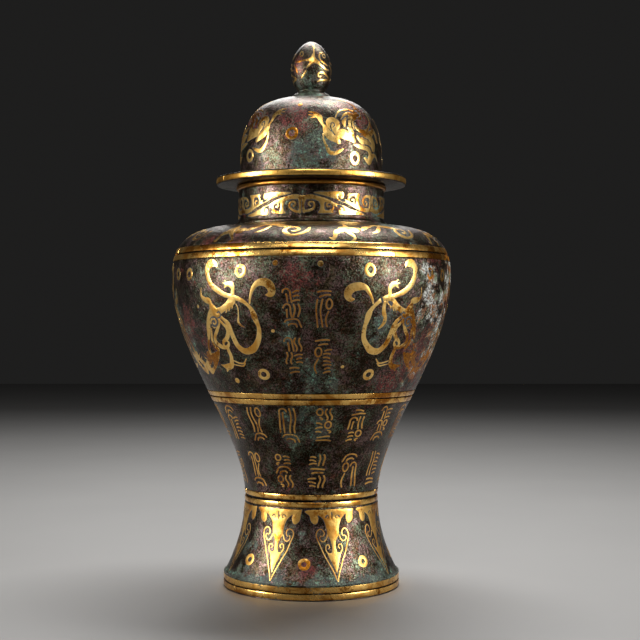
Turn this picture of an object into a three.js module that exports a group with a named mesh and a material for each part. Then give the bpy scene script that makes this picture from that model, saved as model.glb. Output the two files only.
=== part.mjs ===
// A lidded bronze jar of the tall baluster kind: flared foot, narrow waist, swelling belly, broad shoulder,
// short neck, and a domed lid with a wide flange and a bud knob. Both castings are hollow and thin-walled.
// Plain gold strips are let in flush round the foot, waist, belly, shoulder, mouth and lid.
// Millimetres, +Z up, origin at the centre of the surface that the jar stands on.
import * as THREE from 'three';

// Facets round every turned piece
const FACETS = 36;

// Jar body, from the ground up: rises are from one level to the next, radii are of the outer skin
const WALL = 4;
const FLOOR = 4;
const FOOT_RADIUS = 61.2;
const FOOT_EDGE_ROUNDING = 0.6;
const FOOT_RING_WIDTH = 5.5;
const FOOT_RECESS_DEPTH = 10;
const FOOT_RECESS_TAPER = 1.4;
const FOOT_LIP_HEIGHT = 0.7;
const FOOT_LEDGE_WIDTH = 1;
const FLARE_RISE = 51.8;
const WAIST_RADIUS = 46.4;
const BELLY_RISE = 154;
const BELLY_RADIUS = 97.3;
const SHOULDER_RISE = 33.5;
const NECK_BEAD_WIDTH = 2.6;
const NECK_BEAD_HEIGHT = 2.6;
const NECK_RADIUS = 50.8;
const NECK_RISE = 28.7;

// Lid: rises are above the flange's top for the dome, and above the dome's top for the knob
const FLANGE_RADIUS = 66;
const FLANGE_THICKNESS = 5.1;
const FLANGE_ROUNDING = 0.5;
const LID_WALL = 3.5;
const SPIGOT_DEPTH = 10;
const SPIGOT_WALL = 3;
const DOME_RADIUS = 49.7;
const DOME_RISE = 56;
const DOME_SQUARENESS = 3.24;
const KNOB_FOOT_RADIUS = 13.5;
const KNOB_NECK_RADIUS = 9.4;
const KNOB_NECK_RISE = 5.4;
const BUD_RADIUS = 14.4;
const BUD_BELLY_RISE = 20.4;
const BUD_TIP_RISE = 40.4;
const BUD_FOOT_SQUARENESS = 1.5;
const BUD_TIP_SQUARENESS = 1.75;

// Gold strips: a belt is two strips in one shallow channel, with a groove between them
const STRIP_THICKNESS = 0.8;
const FOOT_BELT = { width: 3.6, groove: 1.1, bottom: 0.9 };
const WAIST_BELT = { width: 3.2, groove: 1.8, belowWaist: 2.5 };
const BELLY_BELT = { width: 3.2, groove: 1.4, aboveWaist: 67 };
const SHOULDER_BELT = { width: 3.8, groove: 1.4, aboveBelly: 9.3 };
const MOUTH_STRIP_WIDTH = 3.3;
const MOUTH_STRIP_PROUD = 1.6;
const RIM_STRIP_WIDTH = 3.4;

// Clearances, and the least width of skin between a channel and the next edge
const STRIP_GAP = 0.3;
const SEAT_GAP = 0.3;
const SPIGOT_GAP = 1;
const CHANNEL_LAND = 0.6;

const BRONZE = { color: 0x3c3a30, roughness: 0.45, metalness: 0.85 };
const GOLD = { color: 0xc9963f, roughness: 0.3, metalness: 1 };

// Levels above the ground
const footBeltWidth = 2 * FOOT_BELT.width + FOOT_BELT.groove;
const ledgeHeight = FOOT_BELT.bottom + footBeltWidth + STRIP_GAP + FOOT_LIP_HEIGHT;
const waistHeight = ledgeHeight + FLARE_RISE;
const bellyHeight = waistHeight + BELLY_RISE;
const shoulderHeight = bellyHeight + SHOULDER_RISE;
const mouthHeight = shoulderHeight + NECK_RISE;
const flangeBottom = mouthHeight + SEAT_GAP;
const flangeTop = flangeBottom + FLANGE_THICKNESS;
const domeTop = flangeTop + DOME_RISE;

const at = (radius, height) => new THREE.Vector2(radius, height);
const raise = (points, height) => points.map((point) => at(point.x, point.y + height));

// Outer skin above the foot's ledge, in three curves that meet upright at the waist and at the belly.
// Each curve's two pulls are shares of its own rise and width.
const flareRadius = FOOT_RADIUS - FOOT_LEDGE_WIDTH;
const beadRadius = NECK_RADIUS + NECK_BEAD_WIDTH;
const share = (from, to, part) => THREE.MathUtils.lerp(from, to, part);
const flareCurve = new THREE.CubicBezierCurve(
  at(flareRadius, ledgeHeight),
  at(share(WAIST_RADIUS, flareRadius, 0.06), ledgeHeight + 0.46 * FLARE_RISE),
  at(WAIST_RADIUS, waistHeight - 0.14 * FLARE_RISE),
  at(WAIST_RADIUS, waistHeight),
);
const bellyCurve = new THREE.CubicBezierCurve(
  at(WAIST_RADIUS, waistHeight),
  at(WAIST_RADIUS, waistHeight + 0.29 * BELLY_RISE),
  at(BELLY_RADIUS, bellyHeight - 0.36 * BELLY_RISE),
  at(BELLY_RADIUS, bellyHeight),
);
const shoulderCurve = new THREE.CubicBezierCurve(
  at(BELLY_RADIUS, bellyHeight),
  at(BELLY_RADIUS, bellyHeight + 0.67 * SHOULDER_RISE),
  at(share(beadRadius, BELLY_RADIUS, 0.7), shoulderHeight + 0.03 * SHOULDER_RISE),
  at(beadRadius, shoulderHeight),
);

// Point and outward normal of the skin at a height: halves the curve's span until it meets that height
function skinAt(height) {
  if (height <= ledgeHeight) return { point: at(FOOT_RADIUS, height), normal: at(1, 0) };
  const curve = [flareCurve, bellyCurve].find((each) => height <= each.v3.y) ?? shoulderCurve;
  let low = 0;
  let high = 1;
  for (let step = 0; step < 40; step += 1) {
    const middle = (low + high) / 2;
    if (curve.getPoint(middle).y < height) low = middle;
    else high = middle;
  }
  const tangent = curve.getTangent(low);
  return { point: curve.getPoint(low), normal: at(tangent.y, -tangent.x) };
}

// Height reached by going a distance up along the skin
function climb(height, distance) {
  const first = height + distance * skinAt(height).normal.x;
  return height + distance * skinAt((height + first) / 2).normal.x;
}

const sunk = ({ point, normal }, depth) => point.clone().addScaledVector(normal, -depth);

// The two strips and the channel of a belt, as heights on the skin
function laidBelt(place, { width, groove }, bottom) {
  const lowerTop = climb(bottom, width);
  const upperBottom = climb(lowerTop, groove);
  const upperTop = climb(upperBottom, width);
  return {
    strips: [
      { name: `${place}_strip_lower`, low: bottom, high: lowerTop },
      { name: `${place}_strip_upper`, low: upperBottom, high: upperTop },
    ],
    channelLow: climb(bottom, -STRIP_GAP),
    channelHigh: climb(upperTop, STRIP_GAP),
  };
}
const belts = [
  laidBelt('foot', FOOT_BELT, FOOT_BELT.bottom),
  laidBelt('waist', WAIST_BELT, waistHeight - WAIST_BELT.belowWaist),
  laidBelt('belly', BELLY_BELT, waistHeight + BELLY_BELT.aboveWaist),
  laidBelt('shoulder', SHOULDER_BELT, bellyHeight + SHOULDER_BELT.aboveBelly),
];

// Outer skin from the foot's lower edge up to the neck's bead, with the belts' channels let in
function skinOutline() {
  const curved = [
    { curve: flareCurve, pieces: 6 },
    { curve: bellyCurve, pieces: 9 },
    { curve: shoulderCurve, pieces: 8 },
  ].flatMap(({ curve, pieces }) => curve.getPoints(pieces).slice(0, -1));
  const isClear = ({ y }) =>
    belts.every((belt) => y < belt.channelLow - CHANNEL_LAND || y > belt.channelHigh + CHANNEL_LAND);
  const plain = [at(FOOT_RADIUS, ledgeHeight), ...curved].filter(isClear);
  const channels = belts.map(({ channelLow, channelHigh }) => {
    const [low, high] = [skinAt(channelLow), skinAt(channelHigh)];
    const depth = STRIP_THICKNESS + STRIP_GAP;
    return [low.point, sunk(low, depth), sunk(high, depth), high.point];
  });
  const stretches = [...plain.map((point) => [point]), ...channels];
  return stretches.sort((a, b) => a[0].y - b[0].y).flat();
}

// Inner face from the floor's middle up to the mouth: the skin moved in by the wall
function innerOutline() {
  const neckInside = NECK_RADIUS - WALL;
  const floorTop = FOOT_RECESS_DEPTH + FLOOR;
  const [rising, closing] = [
    [{ curve: flareCurve, pieces: 4 }, { curve: bellyCurve, pieces: 6 }],
    [{ curve: shoulderCurve, pieces: 5 }],
  ].map((curves) =>
    curves.flatMap(({ curve, pieces }) =>
      curve.getPoints(pieces).slice(1).map((point, index) => {
        const tangent = curve.getTangent((index + 1) / pieces);
        return sunk({ point, normal: at(tangent.y, -tangent.x) }, WALL);
      }),
    ),
  );
  return [
    at(0, floorTop),
    sunk(skinAt(floorTop), WALL).setY(floorTop),
    ...rising.filter(({ y }) => y > floorTop + 1),
    ...closing.filter(({ x }) => x > neckInside + 1),
    at(neckInside, shoulderHeight - WALL),
    at(neckInside, mouthHeight),
  ];
}

// Neck from the mouth down: a rebate for the mouth strip, the plain neck, and the bead at its foot
function neckOutline() {
  const rebateRadius = NECK_RADIUS - STRIP_THICKNESS;
  const rebateHeight = mouthHeight - MOUTH_STRIP_WIDTH - STRIP_GAP;
  const beadTop = shoulderHeight + NECK_BEAD_HEIGHT;
  return [
    at(rebateRadius, mouthHeight),
    at(rebateRadius, rebateHeight),
    at(NECK_RADIUS, rebateHeight),
    at(NECK_RADIUS, beadTop),
    at(beadRadius, beadTop - NECK_BEAD_HEIGHT / 4),
    at(beadRadius, shoulderHeight),
  ];
}

// Standing ring and the recess inside it
function footOutline() {
  const recessRadius = FOOT_RADIUS - FOOT_RING_WIDTH;
  return [
    at(FOOT_RADIUS - FOOT_EDGE_ROUNDING, 0),
    at(recessRadius, 0),
    at(recessRadius - FOOT_RECESS_TAPER, FOOT_RECESS_DEPTH),
    at(0, FOOT_RECESS_DEPTH),
  ];
}

// Superellipse arc from (a, 0) to (0, b), in steps that are even in angle
function superArc(a, b, squareness, pieces) {
  return Array.from({ length: pieces + 1 }, (_, index) => {
    const angle = (index / pieces) * (Math.PI / 2);
    return at(a * Math.cos(angle) ** (2 / squareness), b * Math.sin(angle) ** (2 / squareness));
  });
}

// Bud knob from its neck up to the tip
function knobOutline() {
  const budBelly = domeTop + BUD_BELLY_RISE;
  const footWidth = BUD_RADIUS - KNOB_NECK_RADIUS;
  const foot = superArc(footWidth, BUD_BELLY_RISE - KNOB_NECK_RISE, BUD_FOOT_SQUARENESS, 3);
  const tip = superArc(BUD_RADIUS, BUD_TIP_RISE - BUD_BELLY_RISE, BUD_TIP_SQUARENESS, 5);
  return [
    at(KNOB_FOOT_RADIUS, domeTop),
    ...foot.reverse().map(({ x, y }) => at(KNOB_NECK_RADIUS + x, budBelly - y)),
    ...raise(tip, budBelly).slice(1),
  ];
}

// Flange from its underside's edge, round the channel for its strip, to its top edge
function flangeOutline() {
  const middle = flangeBottom + FLANGE_THICKNESS / 2;
  const half = RIM_STRIP_WIDTH / 2 + STRIP_GAP;
  const channelRadius = FLANGE_RADIUS - STRIP_THICKNESS - STRIP_GAP;
  return [
    at(FLANGE_RADIUS - FLANGE_ROUNDING, flangeBottom),
    at(FLANGE_RADIUS, middle - half),
    at(channelRadius, middle - half),
    at(channelRadius, middle + half),
    at(FLANGE_RADIUS, middle + half),
    at(FLANGE_RADIUS - FLANGE_ROUNDING, flangeTop),
  ];
}

// Lid from the hollow's crown, down inside the spigot, round the flange and up the dome to the knob
function lidOutline() {
  const hollow = superArc(DOME_RADIUS - LID_WALL, DOME_RISE - LID_WALL, DOME_SQUARENESS, 5).reverse();
  const dome = superArc(DOME_RADIUS, DOME_RISE, DOME_SQUARENESS, 8);
  const spigotRadius = NECK_RADIUS - WALL - SPIGOT_GAP;
  const spigotBottom = flangeBottom - SPIGOT_DEPTH;
  return [
    ...raise(hollow, flangeTop),
    at(spigotRadius - SPIGOT_WALL, flangeBottom),
    at(spigotRadius - SPIGOT_WALL, spigotBottom),
    at(spigotRadius, spigotBottom),
    at(spigotRadius, flangeBottom),
    ...flangeOutline(),
    ...raise(dome, flangeTop).filter(({ x }) => x > KNOB_FOOT_RADIUS + 1),
    ...knobOutline(),
  ];
}

// A closed half outline turned about the upright axis
function turned(name, outline, { color, roughness, metalness }) {
  const geometry = new THREE.LatheGeometry(outline, FACETS).rotateX(Math.PI / 2);
  const mesh = new THREE.Mesh(geometry, new THREE.MeshStandardMaterial({ color, roughness, metalness }));
  mesh.name = name;
  return mesh;
}

const ring = (name, outline) => turned(name, [...outline, outline[0].clone()], GOLD);

function beltStrip({ name, low, high }) {
  const [below, above] = [skinAt(low), skinAt(high)];
  return ring(name, [
    below.point,
    above.point,
    sunk(above, STRIP_THICKNESS),
    sunk(below, STRIP_THICKNESS),
  ]);
}

// Gilt lip round the mouth, crowned outwards
function mouthStrip() {
  const inside = NECK_RADIUS - STRIP_THICKNESS + STRIP_GAP;
  const outside = NECK_RADIUS + MOUTH_STRIP_PROUD;
  const low = mouthHeight - MOUTH_STRIP_WIDTH;
  return ring('mouth_strip', [
    at(inside, low),
    at(outside - MOUTH_STRIP_PROUD / 2, low),
    at(outside, low + MOUTH_STRIP_WIDTH / 3),
    at(outside, mouthHeight - MOUTH_STRIP_WIDTH / 3),
    at(inside, mouthHeight),
  ]);
}

function rimStrip() {
  const middle = flangeBottom + FLANGE_THICKNESS / 2;
  const half = RIM_STRIP_WIDTH / 2;
  return ring('lid_rim_strip', [
    at(FLANGE_RADIUS, middle - half),
    at(FLANGE_RADIUS, middle + half),
    at(FLANGE_RADIUS - STRIP_THICKNESS, middle + half),
    at(FLANGE_RADIUS - STRIP_THICKNESS, middle - half),
  ]);
}

const bodyOutline = [...innerOutline(), ...neckOutline(), ...skinOutline().reverse(), ...footOutline()];

const jar = new THREE.Group();
jar.add(turned('jar_body', bodyOutline.reverse(), BRONZE));
jar.add(turned('lid', lidOutline(), BRONZE));
for (const { strips } of belts) {
  for (const strip of strips) jar.add(beltStrip(strip));
}
jar.add(mouthStrip());
jar.add(rimStrip());

export default jar;
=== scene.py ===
import math

import bpy
import numpy as np
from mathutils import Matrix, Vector
from mathutils.geometry import delaunay_2d_cdt


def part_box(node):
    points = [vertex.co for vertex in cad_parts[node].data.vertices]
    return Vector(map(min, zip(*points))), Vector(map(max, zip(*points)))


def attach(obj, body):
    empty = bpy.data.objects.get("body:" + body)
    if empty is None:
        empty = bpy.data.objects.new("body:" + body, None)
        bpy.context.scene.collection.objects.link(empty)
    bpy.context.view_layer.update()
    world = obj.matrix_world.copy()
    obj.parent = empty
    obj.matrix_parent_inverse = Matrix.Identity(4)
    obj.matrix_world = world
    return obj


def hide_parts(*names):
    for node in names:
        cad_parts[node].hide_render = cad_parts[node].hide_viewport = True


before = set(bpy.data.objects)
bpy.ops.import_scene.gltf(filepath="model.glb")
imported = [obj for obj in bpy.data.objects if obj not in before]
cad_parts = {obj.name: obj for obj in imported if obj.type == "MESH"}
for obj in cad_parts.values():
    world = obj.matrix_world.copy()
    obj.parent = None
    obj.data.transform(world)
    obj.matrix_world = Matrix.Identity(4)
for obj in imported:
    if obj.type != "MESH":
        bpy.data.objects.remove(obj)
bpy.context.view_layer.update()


# Camera and studio
# The jar stands on a plain pale floor. Two tall soft panels stand wide at its sides, with flags that keep
# their light off the floor, and others hang above, in front and behind. Colours have no film curve.
FRAME_WIDTH = 640
FOCAL_PIXELS = 1283
AXIS_PIXEL = 311.3
HORIZON_PIXEL = 324
CAMERA_DISTANCE = 0.901
CAMERA_HEIGHT = 0.1819
SENSOR_WIDTH = 36
STUDIO_GLOW = (0.013, 0.0128, 0.0125, 1)
FLOOR_REACH = 3
FLOOR_TONES = (0.24, 0.234, 0.227, 1), (0.27, 0.263, 0.255, 1)
FLOOR_BLOTCHES = 40
FLOOR_ROUGHNESS = 0.6


def add_camera():
    """The photograph's view: level, with the jar's axis a little left of the middle of the frame."""
    data = bpy.data.cameras.new("camera")
    data.sensor_width = SENSOR_WIDTH
    data.lens = FOCAL_PIXELS / FRAME_WIDTH * SENSOR_WIDTH
    data.shift_x = (FRAME_WIDTH / 2 - AXIS_PIXEL) / FRAME_WIDTH
    data.shift_y = (HORIZON_PIXEL - FRAME_WIDTH / 2) / FRAME_WIDTH
    camera = bpy.data.objects.new("camera", data)
    camera.location = (0, -CAMERA_DISTANCE, CAMERA_HEIGHT)
    camera.rotation_euler = (math.radians(90), 0, 0)
    bpy.context.scene.collection.objects.link(camera)
    bpy.context.scene.camera = camera


def around(angle, distance, height):
    """Place at an angle from the front, towards the right, at a distance from the jar's axis."""
    turn = math.radians(angle)
    return Vector((distance * math.sin(turn), -distance * math.cos(turn), height))


def add_panel(name, place, target, size, power):
    """A soft panel light that faces a point. The camera doesn't see the panel itself."""
    data = bpy.data.lights.new(name, "AREA")
    data.shape = "RECTANGLE"
    data.size, data.size_y = size
    data.energy = power
    panel = bpy.data.objects.new(name, data)
    panel.location = place
    panel.visible_camera = False
    panel.rotation_euler = (place - Vector(target)).to_track_quat("Z", "Y").to_euler()
    bpy.context.scene.collection.objects.link(panel)


add_camera()
add_panel("left_panel", around(-68, 1.15, 0.46), (0, 0, 0.24), (0.4, 0.66), 23)
add_panel("right_panel", around(64, 1.15, 0.46), (0, 0, 0.24), (0.36, 0.66), 22)
add_panel("top_panel", Vector((0.1, 0.26, 1.05)), (0, 0, 0.25), (0.7, 0.28), 16)
add_panel("front_panel", Vector((0, -0.95, 1.12)), (0, 0, 0.24), (0.8, 0.5), 7.2)
add_panel("back_panel", around(180, 1.1, 1.02), (0, 0, 0.2), (0.7, 0.4), 6)

world = bpy.data.worlds.new("studio")
world.use_nodes = True
world.node_tree.nodes["Background"].inputs["Color"].default_value = STUDIO_GLOW
bpy.context.scene.world = world
bpy.context.scene.view_settings.view_transform = "Standard"


def node(tree, kind, inputs=(), **settings):
    """Adds a shader node. Inputs go by name or place, and hold a value or another node's output."""
    made = tree.nodes.new(kind)
    for name, value in settings.items():
        setattr(made, name, value)
    for name, value in dict(inputs).items():
        if isinstance(value, bpy.types.NodeSocket):
            tree.links.new(value, made.inputs[name])
        else:
            made.inputs[name].default_value = value
    return made


def pattern(tree, scale, detail, roughness=0.6, warp=0.0):
    """Noise on Object coordinates, so many features to the metre."""
    place = node(tree, "ShaderNodeTexCoord")
    settings = {"Vector": place.outputs["Object"], "Scale": scale, "Detail": detail, "Roughness": roughness,
                "Distortion": warp}
    return node(tree, "ShaderNodeTexNoise", settings).outputs["Fac"]


def mixed(tree, mask, first, second):
    """Blends two colours by a mask."""
    return node(tree, "ShaderNodeMix", {0: mask, 6: first, 7: second}, data_type="RGBA").outputs[2]


def new_finish(name):
    """An empty finish: itself, its tree and its Principled shader."""
    finish = bpy.data.materials.new(name)
    finish.use_nodes = True
    return finish, finish.node_tree, finish.node_tree.nodes["Principled BSDF"]


def add_floor():
    """A wide plain floor with a matt pale finish, faintly uneven: so many blotches along each side."""
    mesh = bpy.data.meshes.new("floor")
    far = FLOOR_REACH
    mesh.from_pydata([(-far, -far, 0), (far, -far, 0), (far, far, 0), (-far, far, 0)], [], [(0, 1, 2, 3)])
    floor = bpy.data.objects.new("floor", mesh)
    bpy.context.scene.collection.objects.link(floor)
    finish, tree, shader = new_finish("floor_paint")
    grain = node(tree, "ShaderNodeTexNoise", {"Scale": FLOOR_BLOTCHES, "Detail": 3})
    tone = mixed(tree, grain.outputs["Fac"], *FLOOR_TONES)
    tree.links.new(tone, shader.inputs["Base Color"])
    shader.inputs["Roughness"].default_value = FLOOR_ROUGHNESS
    mesh.materials.append(finish)
    return floor


def flag_off(thing, lights):
    """Keeps the light of some panels off a thing, as black cards beside them would."""
    shaded = bpy.data.collections.new("flagged_off")
    shaded.objects.link(thing)
    shaded.collection_objects[0].light_linking.link_state = "EXCLUDE"
    for light in lights:
        bpy.data.objects[light].light_linking.receiver_collection = shaded


flag_off(add_floor(), ("left_panel", "right_panel"))


# Jar body
# The jar is one hollow bronze casting: foot ring, flared foot, belly, shoulder, neck and mouth. Long
# burial has left its skin dark and mottled, with green, white and red corrosion in patches.
MM = 0.001
ROUND_STEPS = 288
ROUND_ANGLES = np.arange(ROUND_STEPS) / ROUND_STEPS * 2 * math.pi
SKIN_STEP = 1.5
ON_AXIS = 1e-6
WALL = 4
FLOOR = 4
FOOT_RECESS = 10
FOOT_RING_WIDTH = 5.5
FOOT_LIP = 0.7
FOOT_LEDGE = 1
STRIP_DEPTH = 0.8
STRIP_GAP = 0.3
NECK_BEAD = 2.6
NECK_HEIGHT = 28.7
SHOULDER_RISE = 33.5
MOUTH_STRIP_PROUD = 1.6
WAIST_ABOVE_STRIPS = 2.5
WAIST_RADIUS = 46.4
LEDGE_SLOPE = 0.01


def span(name, axis):
    """Lowest and highest place of a CAD node along one axis, in millimetres."""
    low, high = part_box(name)
    return low[axis] / MM, high[axis] / MM


mouth_height = span("jar_body", 2)[1]
belly_radius = span("jar_body", 0)[1]
foot_radius = span("foot_strip_lower", 0)[1]
waist_height = span("waist_strip_lower", 2)[0] + WAIST_ABOVE_STRIPS
ledge_height = span("foot_strip_upper", 2)[1] + STRIP_GAP + FOOT_LIP
neck_radius = span("mouth_strip", 0)[1] - MOUTH_STRIP_PROUD
bead_radius = neck_radius + NECK_BEAD
neck_foot_height = mouth_height - NECK_HEIGHT
belly_height = neck_foot_height - SHOULDER_RISE


def arc(first, pull_first, pull_last, last, steps=200):
    """Cubic Bezier curve: the four given points, weighed by the binomial terms of t and 1 - t."""
    t = np.linspace(0, 1, steps)[:, None]
    a, b, c, d = map(np.array, (first, pull_first, pull_last, last))
    return (1 - t) ** 3 * a + 3 * (1 - t) ** 2 * t * b + 3 * (1 - t) * t ** 2 * c + t ** 3 * d


def lengths(path):
    """Distance run along a path at each of its points."""
    return np.concatenate([[0], np.cumsum(np.hypot(*np.diff(path[:, :2], axis=0).T))])


def between(start, end, share):
    return start + (end - start) * share


def skin_outline():
    """Half outline of the outer skin, from the ground to the neck's foot: the foot's edge and three arcs."""
    flare, ledge = foot_radius - FOOT_LEDGE, ledge_height + LEDGE_SLOPE
    foot = [(foot_radius, 0), (foot_radius, ledge_height), (flare, ledge)]
    rise = waist_height - ledge_height
    foot_arc = arc((flare, ledge), (between(WAIST_RADIUS, flare, 0.06), ledge_height + 0.46 * rise),
                   (WAIST_RADIUS, waist_height - 0.14 * rise), (WAIST_RADIUS, waist_height))
    rise = belly_height - waist_height
    belly_arc = arc((WAIST_RADIUS, waist_height), (WAIST_RADIUS, waist_height + 0.29 * rise),
                    (belly_radius, belly_height - 0.36 * rise), (belly_radius, belly_height))
    rise = neck_foot_height - belly_height
    shoulder_arc = arc((belly_radius, belly_height), (belly_radius, belly_height + 0.67 * rise),
                       (between(bead_radius, belly_radius, 0.7), neck_foot_height),
                       (bead_radius, neck_foot_height))
    return np.vstack([foot, foot_arc[1:], belly_arc[1:], shoulder_arc[1:]])


class Skin:
    """A turned face, known by its half outline, that lays paper figures on itself."""

    def __init__(self, outline):
        self.outline = outline
        self.run = lengths(outline)
        slope = np.gradient(outline, self.run + np.arange(len(outline)) * 1e-9, axis=0)
        self.normal = np.column_stack([slope[:, 1], -slope[:, 0]])
        self.normal /= np.hypot(*self.normal.T)[:, None]

    def run_at(self, height):
        """How far up the outline a height lies."""
        return np.interp(height, np.maximum.accumulate(self.outline[:, 1]), self.run)

    def across(self, run):
        """Radius, height and outward normal at a distance up the outline."""
        return [np.interp(run, self.run, column) for column in (*self.outline.T, *self.normal.T)]

    def place(self, angle, run, lift):
        """Points at an angle from the front and a distance up the outline, raised along the normal."""
        radius, height, outward, upward = self.across(run)
        lift = lift + unevenness(turned_place(radius, height, angle))
        return turned_place(radius + outward * lift, height + upward * lift, angle)

    def lay(self, paper, lift, angle, height):
        """Wraps paper round the skin: x runs along the girth and y up the outline from a height."""
        run = self.run_at(height) + paper[:, 1]
        return self.place(math.radians(angle) + paper[:, 0] / self.across(run)[0], run, lift)


def turned_place(radius, height, angle):
    return np.stack(np.broadcast_arrays(radius * np.sin(angle), -radius * np.cos(angle), height), axis=-1)


def ripple(points, wavelength, seed, waves=18):
    """Smooth noise about -1 to 1: the mean of many cosine waves in seeded random directions."""
    random = np.random.default_rng(seed)
    heading = random.normal(size=(3, waves))
    heading *= 2 * math.pi / wavelength * random.uniform(0.6, 1.4, waves) / np.linalg.norm(heading, axis=0)
    return np.cos(points @ heading + random.uniform(0, 2 * math.pi, waves)).sum(axis=-1) / math.sqrt(waves)


def unevenness(points):
    """How far the old casting's skin stands off its true turned shape, in millimetres."""
    return 0.11 * ripple(points, 42, 1) + 0.05 * ripple(points, 17, 2)


# Patches of corrosion: angle from the front, height, size and strength
VERDIGRIS = [(-6, 293, 13, 1), (12, 295, 11, .9), (4, 307, 12, .5), (-40, 298, 10, .4), (0, 345, 14, 1),
             (30, 184, 8, 1), (27, 173, 8, .8), (-9, 175, 11, .8), (-4, 150, 16, .5), (12, 143, 14, .5),
             (-12, 125, 16, .4), (8, 104, 15, .5), (-4, 112, 14, .5), (-52, 22, 18, .7), (-20, 13, 12, .6),
             (8, 14, 12, .7), (40, 12, 9, 1), (60, 13, 12, 1), (60, 40, 18, .4), (-10, 45, 10, .3),
             (60, 262, 12, .9), (-45, 262, 10, .6), (42, 243, 13, .7), (85, 185, 26, .9),
             (-75, 195, 14, .6), (-68, 165, 15, .7), (150, 200, 30, .8), (200, 120, 26, .8),
             (120, 90, 20, .7), (230, 240, 20, .7), (170, 30, 20, .8), (-100, 60, 16, .8),
             (110, 300, 20, .9), (200, 310, 24, .9), (250, 290, 14, .8), (180, 262, 14, .8),
             (265, 262, 10, .8)]
CRUST = [(57, 203, 15, 1), (68, 188, 20, .9), (51, 217, 10, .9), (80, 160, 20, .8), (62, 160, 14, .8),
         (52, 190, 10, .8), (50, 170, 9, .7), (56, 146, 10, .7), (75, 214, 12, .7), (-78, 150, 14, .6),
         (85, 218, 20, .9), (165, 150, 22, .7), (215, 205, 16, .6), (70, 245, 18, .5), (-64, 245, 10, .5),
         (140, 20, 14, .7), (-110, 205, 18, .8)]
CUPRITE = [(60, 166, 16, 1), (68, 150, 18, .9), (76, 196, 14, 1), (74, 222, 9, .8), (58, 226, 9, .8),
           (42, 262, 9, .8), (-54, 160, 10, .9), (-70, 172, 12, .9), (45, 187, 12, 1), (-13, 322, 12, 1),
           (-18, 312, 9, .8), (52, 331, 14, .8), (46, 318, 8, 1), (-60, 322, 13, .9), (-7, 216, 14, .9),
           (3, 208, 12, .6), (48, 161, 15, .9), (40, 141, 14, .9), (-5, 20, 10, 1), (-24, 14, 6, .6),
           (-62, 186, 13, .8), (-50, 232, 16, .7), (78, 60, 10, .8), (66, 100, 12, .6), (-30, 242, 14, .6),
           (-30, 80, 12, .4), (140, 180, 18, .8), (195, 160, 22, .8), (240, 120, 18, .7),
           (180, 225, 20, .8), (160, 322, 16, .9), (220, 45, 14, .8), (-45, 360, 7, 1), (100, 245, 14, .7)]


def patches(points, spots):
    """Sum of round soft patches: each falls off as a bell curve with distance over the skin."""
    angle = np.arctan2(points[:, 0], -points[:, 1])
    radius = np.hypot(points[:, 0], points[:, 1])
    amount = np.zeros(len(points))
    for turn, height, size, strength in spots:
        aside = np.angle(np.exp(1j * (angle - math.radians(turn)))) * radius
        amount += strength * np.exp(-(aside ** 2 + (points[:, 2] - height) ** 2) / size ** 2)
    return amount


def broken(points, spots, first_seed, broad, fine):
    """Patches whose edges are broken up by noise of two wavelengths."""
    return (patches(points, spots) + 0.22 * ripple(points, broad, first_seed)
            + 0.2 * ripple(points, fine, first_seed + 1))


def weather(points):
    """Verdigris, crust and cuprite over the skin, each from 0 to 1, as patches broken up by noise."""
    ledge = np.exp(-((points[:, 2] - ledge_height - 1.2) / 2.6) ** 2)
    verdigris = broken(points, VERDIGRIS, 3, 30, 9) + 0.75 * ledge
    crust = patches(points, CRUST) * (1 + 0.35 * ripple(points, 16, 5) + 0.3 * ripple(points, 7, 6))
    cuprite = broken(points, CUPRITE, 7, 24, 8)
    return np.clip(np.column_stack([verdigris, crust - 0.15, cuprite]), 0, 1)


def channel_mask(points):
    """1 on the skin and 0 deep in the strips' channels, where the bronze is made near black."""
    radius, height = np.hypot(points[:, 0], points[:, 1]), points[:, 2]
    unchannelled = np.ones(len(points))
    for name in ("foot", "waist", "belly", "shoulder"):
        low, high = span(f"{name}_strip_lower", 2)[0], span(f"{name}_strip_upper", 2)[1]
        skin = np.interp(height, np.maximum.accumulate(jar_skin.outline[:, 1]), jar_skin.outline[:, 0])
        unchannelled[(height > low - 0.6) & (height < high + 0.6) & (radius < skin - 0.45)] = 0
    return unchannelled


def crust_height(points, crust):
    """Thickness of the white and green crust: lumps of a few millimetres, where there is crust at all."""
    lumps = np.clip(0.45 + 0.55 * ripple(points, 6.5, 9) + 0.3 * ripple(points, 3.6, 10), 0, 1.4)
    return 0.2 * lumps * np.clip(crust * 2.2, 0, 1)


def evenly(outline, step):
    """The same outline with points a step apart along each straight piece, corners kept."""
    pieces = [np.linspace(a, b, max(1, round(np.hypot(*(b - a)) / step)), endpoint=False)
              for a, b in zip(outline, outline[1:])]
    return np.vstack([*pieces, outline[-1:]])


def resampled(path, step):
    """Points an even step apart along a smooth path."""
    run = lengths(path)
    at = np.linspace(0, run[-1], max(2, round(run[-1] / step) + 1))
    return np.column_stack([np.interp(at, run, column) for column in path.T])


jar_skin = Skin(skin_outline())


def belt(place):
    """Where a belt's channel runs on the skin, from the gold strips that lie in it."""
    low, high = span(f"{place}_strip_lower", 2)[0], span(f"{place}_strip_upper", 2)[1]
    return jar_skin.run_at(low) - STRIP_GAP, jar_skin.run_at(high) + STRIP_GAP


BELTS = {place: belt(place) for place in ("foot", "waist", "belly", "shoulder")}
CHANNEL_DEPTH = STRIP_DEPTH + STRIP_GAP
CHANNEL_EDGE = 0.18
CHANNEL_BEVEL = 0.07
MOUTH_TRUE_HEIGHT = 4


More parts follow.
